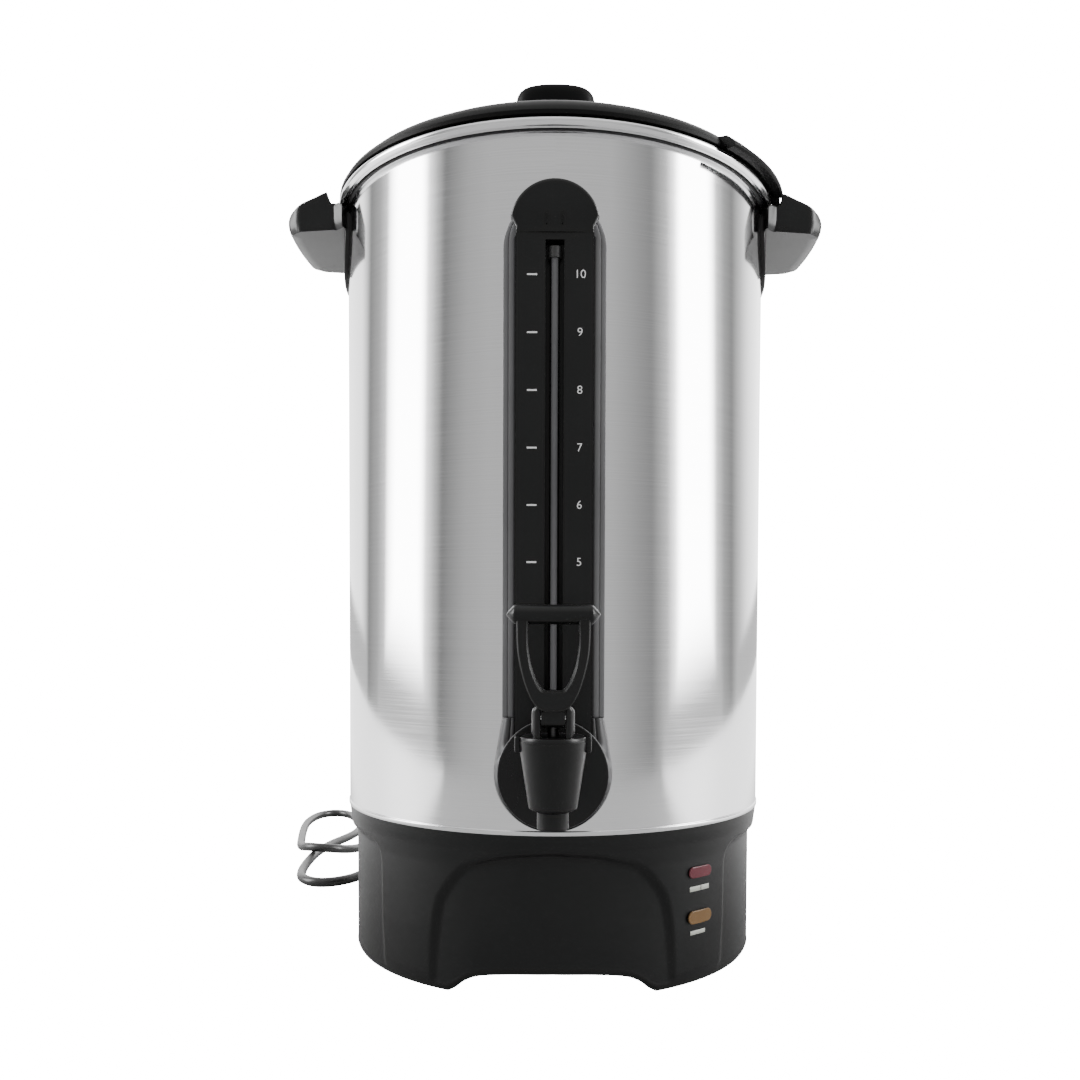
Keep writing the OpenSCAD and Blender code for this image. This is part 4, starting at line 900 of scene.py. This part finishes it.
# %% Lever
LOOP_BACK, LOOP_FRONT = 165.2, 171.5
BAR_Z = 182.2
BAR_SIDES = 48
TINE_IN, TINE_OUT = 2.3, 4.9
loop_out_half = np.array([
    [-15.2, 182.2], [-15.1, 176], [-14.9, 170], [-14.4, 165], [-13.2, 159.2], [-11.4, 153],
    [-9.4, 148.3], [-7.2, 145], [-4.6, 143.1], [-2, 142.6], [0, 142.6]])
loop_in_half = np.array([
    [-10.3, 182.2], [-10.6, 176], [-10.5, 171], [-10.0, 166.5], [-9.0, 161.5], [-7.6, 157.2],
    [-6.3, 154.4], [-4.9, 152.4], [-3.2, 151.3], [-1.5, 151], [0, 151]])
loop_out, loop_in = (np.vstack([line, line[-2::-1] * [-1, 1]]) for line in (
    through(loop_out_half, 6), through(loop_in_half, 6)))
width = np.linalg.norm(loop_out - loop_in, axis=1)
chamfer = np.interp(loop_in[:, 1], [151, 151.6, 156, 166, 176], [0.5, 1.4, 1.2, 0.7, 0.4])
loop_section = [
    (0, LOOP_BACK + 0.4), (0.4 / width, LOOP_BACK), (1 - 0.4 / width, LOOP_BACK), (1, LOOP_BACK + 0.4),
    (1, LOOP_FRONT - chamfer), (1 - chamfer / width, LOOP_FRONT), (0.6 / width, LOOP_FRONT),
    (0, LOOP_FRONT - 0.6)]
loop = band_piece("lever_loop", loop_out, loop_in, loop_section, "lever")
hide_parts("tap_lever")
dress(loop, black_plastic)
bar_line = np.array([
    [-19.2, 0], [-18.9, 0.7], [-16.5, 3.5], [-15.9, 3.95], [-15.2, 4.05], [15.2, 4.05], [15.9, 3.95],
    [16.5, 3.5], [18.9, 0.7], [19.2, 0]])
around_bar = np.linspace(0, 2 * math.pi, BAR_SIDES, endpoint=False)
bar_points = np.stack([
    np.broadcast_to(bar_line[:, :1], (len(bar_line), BAR_SIDES)),
    -(LOOP_BACK + LOOP_FRONT) / 2 + bar_line[:, 1:] * np.cos(around_bar),
    BAR_Z + bar_line[:, 1:] * np.sin(around_bar)], -1)
pull_bar = add_piece("lever_bar", bar_points, grid_faces(len(bar_line), BAR_SIDES), "lever")
dress(pull_bar, black_plastic)
neck_line = rounded([
    [-171.2, 147], [-171.2, 143.4], [-168, 142.6], [-164.7, 142.2], [-164.7, 136.8],
    [-163.2, 135.4], [-157.4, 135.4], [-155.4, 137.6], [-155.4, 141], [-158, 143.2],
    [-162, 143.8], [-165.4, 147]], 0.8, 4)
right_half = pillow(neck_line, 0, TINE_OUT, 0.5, 4)[2:]
left_half = [layer * [-1, 1, 1] for layer in right_half[::-1]]
neck = layered_piece("lever_neck", left_half + right_half, "lever")
dress(neck, black_plastic)
tine_line = rounded([[-159, 137.8], [-152, 137.8], [-152, 140.2], [-159, 140.2]], 0.7, 4)
for side, word in ((-1, "left"), (1, "right")):
    layers = pillow(tine_line, side * TINE_IN, side * TINE_OUT, 0.4, 4)
    tine = layered_piece("lever_tine_" + word, layers, "lever")
    dress(tine, black_plastic)
print("lever:", len(loop.data.polygons), "faces in its loop")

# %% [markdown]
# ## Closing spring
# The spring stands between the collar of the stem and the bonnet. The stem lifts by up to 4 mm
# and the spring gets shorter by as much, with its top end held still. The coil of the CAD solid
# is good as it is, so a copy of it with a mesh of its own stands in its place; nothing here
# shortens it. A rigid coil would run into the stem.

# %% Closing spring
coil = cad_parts["tap_spring"].data.copy()
coil.materials.clear()
clean_mesh(coil, 40)
heights = np.empty(len(coil.vertices) * 3)
coil.vertices.foreach_get("co", heights)
spring = hang("closing_spring", coil, "urn")
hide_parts("tap_spring")
dress(spring, dark_steel)
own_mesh(spring)

# %% [markdown]
# ## Side handles
# A handle is a block that follows the shell, with flared ends, a bowed outer face and a top that
# slopes outwards. A step in its top lets the wing of the lid turn in. A thin plate on the shell
# carries it. A sculpted box could give the same look, but the step has to clear the wing by a
# known amount, so the top is a height worked out for every point of the plan.

# %% Handles
handle_corners = np.array([
    [109.8, -33.2], [111.4, -35.6], [112.9, -39.0], [118.2, -34.2], [138.8, -31.0], [144.9, -26.0],
    [146.0, -9], [146.0, 9], [144.9, 26.0], [138.8, 31.0], [118.2, 34.2], [112.9, 39.0],
    [111.4, 35.6], [109.8, 33.2]])
corner_ease = [0, 0.4, 0.3, 0.4, 2.5, 2.6, 6, 6, 2.6, 2.5, 0.4, 0.3, 0.4, 0]
HANDLE_LOW = 389.0
SIDE_TOP_LEAST = 395
SLOPE = np.array([[121.1, 409.6], [124, 408.9], [128.4, 407.1], [135, 404.7], [139.7, 402.6],
                  [142.6, 400.9], [144.5, 399]])
NOTCH_R, NOTCH_Z = 125.3, 403.2
RIM_STEP_R, RIM_STEP_Z = 120.15, 401.6


def handle_top(x, y):
    """The height of the top: a slope by x, stepped down to the notch inside NOTCH_R from the
    axis and once more beside the rolled rim."""
    slope = np.interp(x, SLOPE[:, 0], SLOPE[:, 1])
    r = np.hypot(x, y)
    notch = NOTCH_Z + (slope - NOTCH_Z) * eased((r - NOTCH_R) / 1.2)
    return RIM_STEP_Z + (notch - RIM_STEP_Z) * eased((r - RIM_STEP_R) / 0.3)


def handle_rows():
    """Rows go along the bottom from the shell outwards, up the outer side and back over the top.
    Each row point lies between the shell line and the plan outline, drawn in along its normal."""
    line = rounded(handle_corners, corner_ease, 9)[9:-9]
    step = np.linalg.norm(np.diff(line, axis=0), axis=1)
    place = np.r_[0, np.cumsum(step)] / step.sum()
    even = np.sort(np.r_[place, np.linspace(0, 1, 60)])
    line = np.stack([np.interp(even, place, line[:, k]) for k in (0, 1)], -1)
    y_shell = np.interp(even, [0, 0.04, 0.96, 1], [-33.0, -32.6, 32.6, 33.0])
    shell_line = np.stack([on_shell(y_shell, 0.05), y_shell], -1)
    along = np.gradient(line, axis=0)
    normal = np.stack([along[:, 1], -along[:, 0]], -1)
    normal /= np.maximum(np.linalg.norm(normal, axis=1, keepdims=True), 1e-9)
    soft = eased(normal[:, :1])

    def between(share, sharp, bowed):
        inset = sharp + (bowed - sharp) * soft
        return shell_line * (1 - share) + (line - normal * inset) * share

    rows = []
    for share in np.linspace(0, 1, 7):
        flat = between(share, 0.5, 2.1)
        rows.append(np.column_stack([flat, np.full(len(flat), HANDLE_LOW)]))
    for sharp, bowed, z in [(0.15, 1.6, 389.3), (0, 1.0, 390.4), (0, 0.35, 392.4), (0, 0, 394.6)]:
        flat = between(1, sharp, bowed)
        rows.append(np.column_stack([flat, np.full(len(flat), z)]))
    for sharp, bowed, drop in [(0, 0, 2.2), (0, 0.3, 1.3), (0.1, 0.9, 0.6), (0.4, 1.7, 0.15)]:
        flat = between(1, sharp, bowed)
        top = handle_top(flat[:, 0], flat[:, 1])
        rows.append(np.column_stack([flat, np.maximum(top - drop, SIDE_TOP_LEAST)]))
    for share in np.linspace(1, 0, 90):
        flat = between(share, 0.7, 2.6)
        rows.append(np.column_stack([flat, handle_top(flat[:, 0], flat[:, 1])]))
    return np.array(rows)


plate_line = rounded(mirrored([
    [0, 364.5], [12, 365.6], [22.5, 369.5], [31, 377.5], [35.4, 387], [35.4, 399.5]]), 4, 6)


def plate_layers():
    """The plate's outline (y, z) laid on the shell: x is the root of r^2 - y^2, with the last
    half millimetre drawn in."""
    middle = np.array([0, 384])
    layers = []
    for share, r in [(1, 115.05), (1, 116.9), (0.99, 117.3), (0.97, 117.4), (0.6, 117.4),
                     (0.3, 117.4)]:
        flat = middle + (plate_line - middle) * share
        layers.append(np.stack([np.sqrt(r ** 2 - flat[:, 0] ** 2), flat[:, 0], flat[:, 1]], -1))
    return layers


for side, word in ((1, "right"), (-1, "left")):
    turn_round = np.array([side, side, 1])
    grid = handle_rows() * turn_round
    rows, cols = grid.shape[:2]
    ends = [[r * cols for r in range(rows)], [r * cols + cols - 1 for r in range(rows)]]
    faces = grid_faces(rows, cols, wrap_rows=True, wrap_cols=False)
    grip = add_piece("handle_grip_" + word, grid, faces, "urn", ends, 32)
    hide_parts("handle_" + word)
    dress(grip, black_plastic)
    layers = [layer * turn_round for layer in np.array(plate_layers())]
    plate = layered_piece("handle_plate_" + word, layers, "urn", 50)
    dress(plate, black_plastic)
print("handles:", len(grip.data.polygons), "faces each")

# %% [markdown]
# ## Knob and wing ends
# The knob is a bar with a rounded plan and a soft top on a round foot. Each locking wing ends in
# a short block that closes the step of the handle. A box with a subdivision surface would also
# give the knob, but a formula for the plan keeps its length and width exact.

# %% Knob and wing ends
KNOB_LOW = 451.8
KNOB_HALF = 22.3, 10.2
PLAN_POWER = 2.6
WING_TOP = 409.0
WING_STEPS = 12


def knob_layers(steps=96):
    """A plan |x/a|^p + |y/b|^p = 1 whose size changes with the height. The top falls towards the
    ends with the square of x."""
    t = np.linspace(0, 2 * math.pi, steps, endpoint=False)
    x = KNOB_HALF[0] * np.sign(np.cos(t)) * np.abs(np.cos(t)) ** (2 / PLAN_POWER)
    y = KNOB_HALF[1] * np.sign(np.sin(t)) * np.abs(np.sin(t)) ** (2 / PLAN_POWER)
    shape = [(0.05, 0), (0.7, 0), (0.88, 0.5), (0.96, 1.8), (1, 4.5), (1, 20), (0.99, 22.5),
             (0.965, 24.6), (0.92, 26.2), (0.85, 27.4), (0.72, 28.2), (0.5, 28.65),
             (0.25, 28.78), (0.05, 28.8)]
    layers = []
    for size, up in shape:
        fall = 0.9 * (x * size / KNOB_HALF[0]) ** 2 * (up > 22)
        layers.append(np.stack([x * size, y * size, KNOB_LOW + up - fall], -1))
    return layers


knob = layered_piece("knob_bar", knob_layers(), "lid", 60)
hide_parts("lid_knob")
dress(knob, lid_plastic)
foot = turned_piece("knob_foot", [
    [2.2, 440.2], [12.6, 439.6], [12.4, 441.4], [10.6, 444.5], [9.2, 449], [8.6, 453], [2.2, 453]],
    "lid", 96)
dress(foot, black_plastic)


def wing_block(side):
    """A block between two radii and two values of y, above the notch of the handle."""
    y = np.linspace(-37.2, -24.5, WING_STEPS)
    layers = []
    for r, foot in ((118.0, 407.4), (120.2, 407.3), (120.25, 404.0), (124.2, 404.0), (124.5, 404.3)):
        x = np.sqrt(r ** 2 - y ** 2)
        low = np.stack([x, y, np.full(WING_STEPS, foot)], -1)
        high = np.stack([x, y, np.full(WING_STEPS, WING_TOP)], -1)[::-1]
        layers.append(np.vstack([low, high]) * [side, side, 1])
    return layers


for side, word in ((1, "right"), (-1, "left")):
    wing_end = layered_piece("wing_block_" + word, wing_block(side), "lid")
    dress(wing_end, lid_plastic)
print("knob", 2 * KNOB_HALF[0], "by", 2 * KNOB_HALF[1], "mm;", len(knob.data.polygons), "faces")

# %% [markdown]
# ## Marks under the lamps
# Two pale bars, one under each lamp, follow the curve of the base. The upper one is in two parts.
# They carry no words. They stand a fifth of a millimetre proud, like thick print, so they have an
# edge of their own, which a painted mask would not have.

# %% Lamp bars
def curved_bar(name, centre_deg, wide, z, high, r, steps=9):
    """A low pad on a cylinder: the angle runs over wide / r about the centre."""
    t = math.radians(centre_deg) + np.linspace(-0.5, 0.5, steps) * wide / r
    layers = []
    for radius, ease in ((r - 0.3, 0), (r + 0.12, 0), (r + 0.2, 0.12)):
        x, y = radius * np.cos(t), radius * np.sin(t)
        low = np.stack([x, y, np.full(steps, z - high / 2 + ease)], -1)
        top = np.stack([x, y, np.full(steps, z + high / 2 - ease)], -1)
        layers.append(np.vstack([low, top[::-1]]))
    piece = layered_piece(name, layers, "urn")
    dress(piece, label_print)


LAMP_DEG = -90 + 39.7
curved_bar("lamp_bar_1a", LAMP_DEG - 1.45, 7.4, 48.9, 2.4, 113.2)
curved_bar("lamp_bar_1b", LAMP_DEG + 2.15, 5.6, 48.9, 2.4, 113.2)
curved_bar("lamp_bar_2", LAMP_DEG - 0.2, 10.4, 27.0, 2.0, 112.85)
print("lamp bars at", LAMP_DEG, "degrees")

# %% [markdown]
# ## Marks on the gauge
# The marks are thin raised print: one short line and one number for each litre. The digits are
# text curves turned into meshes, so they stay sharp at any distance, and a picture texture is not
# needed.

# %% Gauge marks
PANEL_Y = -PANEL_FRONT
TOP_MARK_Z = 334.9
TOP_LITRES, MARKS = 10, 6
LITRE = 25.7


def flat_box(x0, x1, z0, z1, y_back, y_front):
    """Points and quads of a low pad with its front face set in by 0.1 mm all round."""
    inset = np.array([[0, 0, 0, 0], [0.1, -0.1, -0.1, 0.1]])
    rise = np.array([[0, 0, 0, 0], [0.1, 0.1, -0.1, -0.1]])
    x = np.array([x0, x1, x1, x0]) + inset
    z = np.array([z0, z0, z1, z1]) + rise
    y = np.array([[y_back] * 4, [y_front] * 4])
    return np.stack([x, y, z], -1), grid_faces(2, 4)


def number_mesh(text, size, x, z):
    """Digits as a thin mesh that stands on the panel, centred at x and z."""
    curve = bpy.data.curves.new("digits_" + text, "FONT")
    curve.body = text
    curve.size = size * MM
    curve.align_x = "CENTER"
    curve.align_y = "CENTER"
    curve.extrude = 0.06 * MM
    curve.offset = -0.03 * MM
    holder = bpy.data.objects.new("digits_" + text, curve)
    bpy.context.scene.collection.objects.link(holder)
    mesh = bpy.data.meshes.new_from_object(holder)
    bpy.data.objects.remove(holder)
    mesh.transform(Matrix.Translation((x * MM, (PANEL_Y - 0.04) * MM, z * MM))
                   @ Matrix.Rotation(math.radians(90), 4, "X"))
    return mesh


for step in range(MARKS):
    z = TOP_MARK_Z - LITRE * step
    label = str(TOP_LITRES - step)
    points, faces = flat_box(-12.4, -7.9, z - 0.42, z + 0.42, PANEL_Y + 0.05, PANEL_Y - 0.1)
    mark = add_piece("mark_" + label, points, faces, "urn", caps=[[4, 5, 6, 7]])
    dress(mark, white_print)
    digits = hang("number_" + label, number_mesh(label, 5.3, 11.4, z), "urn")
    dress(digits, white_print)
print("gauge marks from", label, "to", TOP_LITRES)

# %% [markdown]
# ## Studio
# A pale floor in a white room without lamps. Below the urn and in a wedge in front of it the
# floor is painted grey as the urn's shadow, and its pale part gives off light. Two tall bright
# panels stand at the sides and give the steel its bands, and the room behind the camera is a calm
# grey. The whole room is painted on the world by compass direction, because polished steel shows
# its surroundings and not its own colour. To the camera alone the floor and the backdrop are so
# bright that they melt into each other.

# %% Floor
FLOOR_SIZE = 24
# Painted shadow of the urn on the floor: grey below the urn and in a wedge in front of it, pale
# beyond.
FLOOR_SHADOW_GREY, FLOOR_PALE = 0.32, 0.85
FLOOR_FADE = 0.10, 0.70
FLOOR_WEDGE = 1.6
FLOOR_GLOW, SIDE_GLOW = 17, 0.9


def floor_finish():
    """Grey below the urn and in a wedge in front of it, as painted shadow of the urn. It grows pale
    and gives off light as |x| + FLOOR_WEDGE min(y, 0) rises over FLOOR_FADE. The camera sees an
    even glow."""
    material, nodes, links, shader = new_finish("studio_floor")
    shader.inputs["Roughness"].default_value = 0.7
    shader.inputs["Specular IOR Level"].default_value = 0.2
    shader.inputs["Emission Color"].default_value = (1, 1, 1, 1)
    parts = place_parts(nodes, links)
    aside = math_node(nodes, links, "ABSOLUTE", parts["X"])
    ahead = math_node(nodes, links, "MINIMUM", parts["Y"], 0)
    wedge = math_node(nodes, links, "MULTIPLY_ADD", ahead, FLOOR_WEDGE, aside)
    paler = map_node(nodes, links, wedge, *FLOOR_FADE, kind="SMOOTHSTEP")
    shade = nodes.new("ShaderNodeMix")
    shade.data_type = "RGBA"
    shade.inputs["A"].default_value = (FLOOR_SHADOW_GREY, FLOOR_SHADOW_GREY, FLOOR_SHADOW_GREY, 1)
    shade.inputs["B"].default_value = (FLOOR_PALE, FLOOR_PALE, FLOOR_PALE, 1)
    links.new(paler, shade.inputs["Factor"])
    links.new(shade.outputs["Result"], shader.inputs["Base Color"])
    glow = nodes.new("ShaderNodeMix")
    glow.data_type = "FLOAT"
    glow.inputs["B"].default_value = FLOOR_GLOW
    sight = nodes.new("ShaderNodeLightPath")
    links.new(sight.outputs["Is Camera Ray"], glow.inputs["Factor"])
    links.new(math_node(nodes, links, "MULTIPLY", paler, SIDE_GLOW), glow.inputs["A"])
    links.new(glow.outputs["Result"], shader.inputs["Emission Strength"])
    return material


bpy.ops.mesh.primitive_plane_add(size=FLOOR_SIZE, location=(0, 0, 0))
floor = bpy.context.object
floor.name = "studio_floor"
floor.data.materials.append(floor_finish())
print("floor", FLOOR_SIZE, "m wide")

# %% Light tent
PANEL_LEVEL, BACKDROP, OVERHEAD = 18, 18, 1.2
FOOT_OF_PANELS = 0.04, 0.15
FOOT_LEVEL = 0.9
ROUND_ABOUT = [
    (-180, 3.0), (-149, 3.2), (-132, 2.8), (-121, 0.36), (-111, 0.67), (-104, 1.37), (-98, 13),
    (-95, PANEL_LEVEL), (-78, PANEL_LEVEL), (-73, 2.4), (-67.6, 0.9), (-62.5, 0.29),
    (-57.7, 0.41), (-48, 0.62), (-36, 0.72), (0, 0.72), (31, 0.70), (44.6, 0.49), (53.8, 0.36),
    (58.4, 0.62), (63.4, 1.03), (68.5, 3.4), (73, PANEL_LEVEL), (91, PANEL_LEVEL), (97.7, 1.6),
    (105, 0.62), (113, 0.37), (122.5, 1.1), (134.5, 2.6), (154, 4.0), (180, 3.0)]


def ramp_of(nodes, stops, low, high):
    """A colour ramp whose stops are given as places between low and high, with grey levels."""
    ramp = nodes.new("ShaderNodeValToRGB")
    while len(ramp.color_ramp.elements) < len(stops):
        ramp.color_ramp.elements.new(0.5)
    for element, (place, level) in zip(ramp.color_ramp.elements, stops):
        element.position = (place - low) / (high - low)
        element.color = (level, level, level, 1)
    return ramp


def studio_world():
    """Radiance by compass direction, zero towards the camera and positive to the right, with a
    plain level overhead. The bright panels fade out just above the floor. The camera itself sees a
    white backdrop."""
    world = bpy.data.worlds.new("light_tent")
    bpy.context.scene.world = world
    world.use_nodes = True
    nodes, links = world.node_tree.nodes, world.node_tree.links
    parts = place_parts(nodes, links, "Generated")
    back = math_node(nodes, links, "MULTIPLY", parts["Y"], -1)
    angle = math_node(nodes, links, "ARCTAN2", parts["X"], back)
    round_about = ramp_of(nodes, ROUND_ABOUT, -180, 180)
    links.new(map_node(nodes, links, angle, -math.pi, math.pi), round_about.inputs["Fac"])
    foot = map_node(nodes, links, parts["Z"], *FOOT_OF_PANELS, FOOT_LEVEL, PANEL_LEVEL, "SMOOTHSTEP")
    overhead = ramp_of(nodes, [(0, 0), (0.62, 0), (0.74, 1), (1, 1)], 0, 1)
    links.new(parts["Z"], overhead.inputs["Fac"])
    join = nodes.new("ShaderNodeMix")
    join.data_type = "RGBA"
    links.new(overhead.outputs["Color"], join.inputs["Factor"])
    links.new(math_node(nodes, links, "MINIMUM", round_about.outputs["Color"], foot), join.inputs["A"])
    join.inputs["B"].default_value = (OVERHEAD, OVERHEAD, OVERHEAD, 1)
    tent = nodes["Background"]
    links.new(join.outputs["Result"], tent.inputs["Color"])
    backdrop = nodes.new("ShaderNodeBackground")
    backdrop.inputs["Color"].default_value = (1, 1, 1, 1)
    backdrop.inputs["Strength"].default_value = BACKDROP
    sight = nodes.new("ShaderNodeLightPath")
    choice = nodes.new("ShaderNodeMixShader")
    links.new(sight.outputs["Is Camera Ray"], choice.inputs["Fac"])
    links.new(tent.outputs[0], choice.inputs[1])
    links.new(backdrop.outputs[0], choice.inputs[2])
    links.new(choice.outputs[0], nodes["World Output"].inputs["Surface"])


studio_world()
print("light tent with", len(ROUND_ABOUT), "levels")
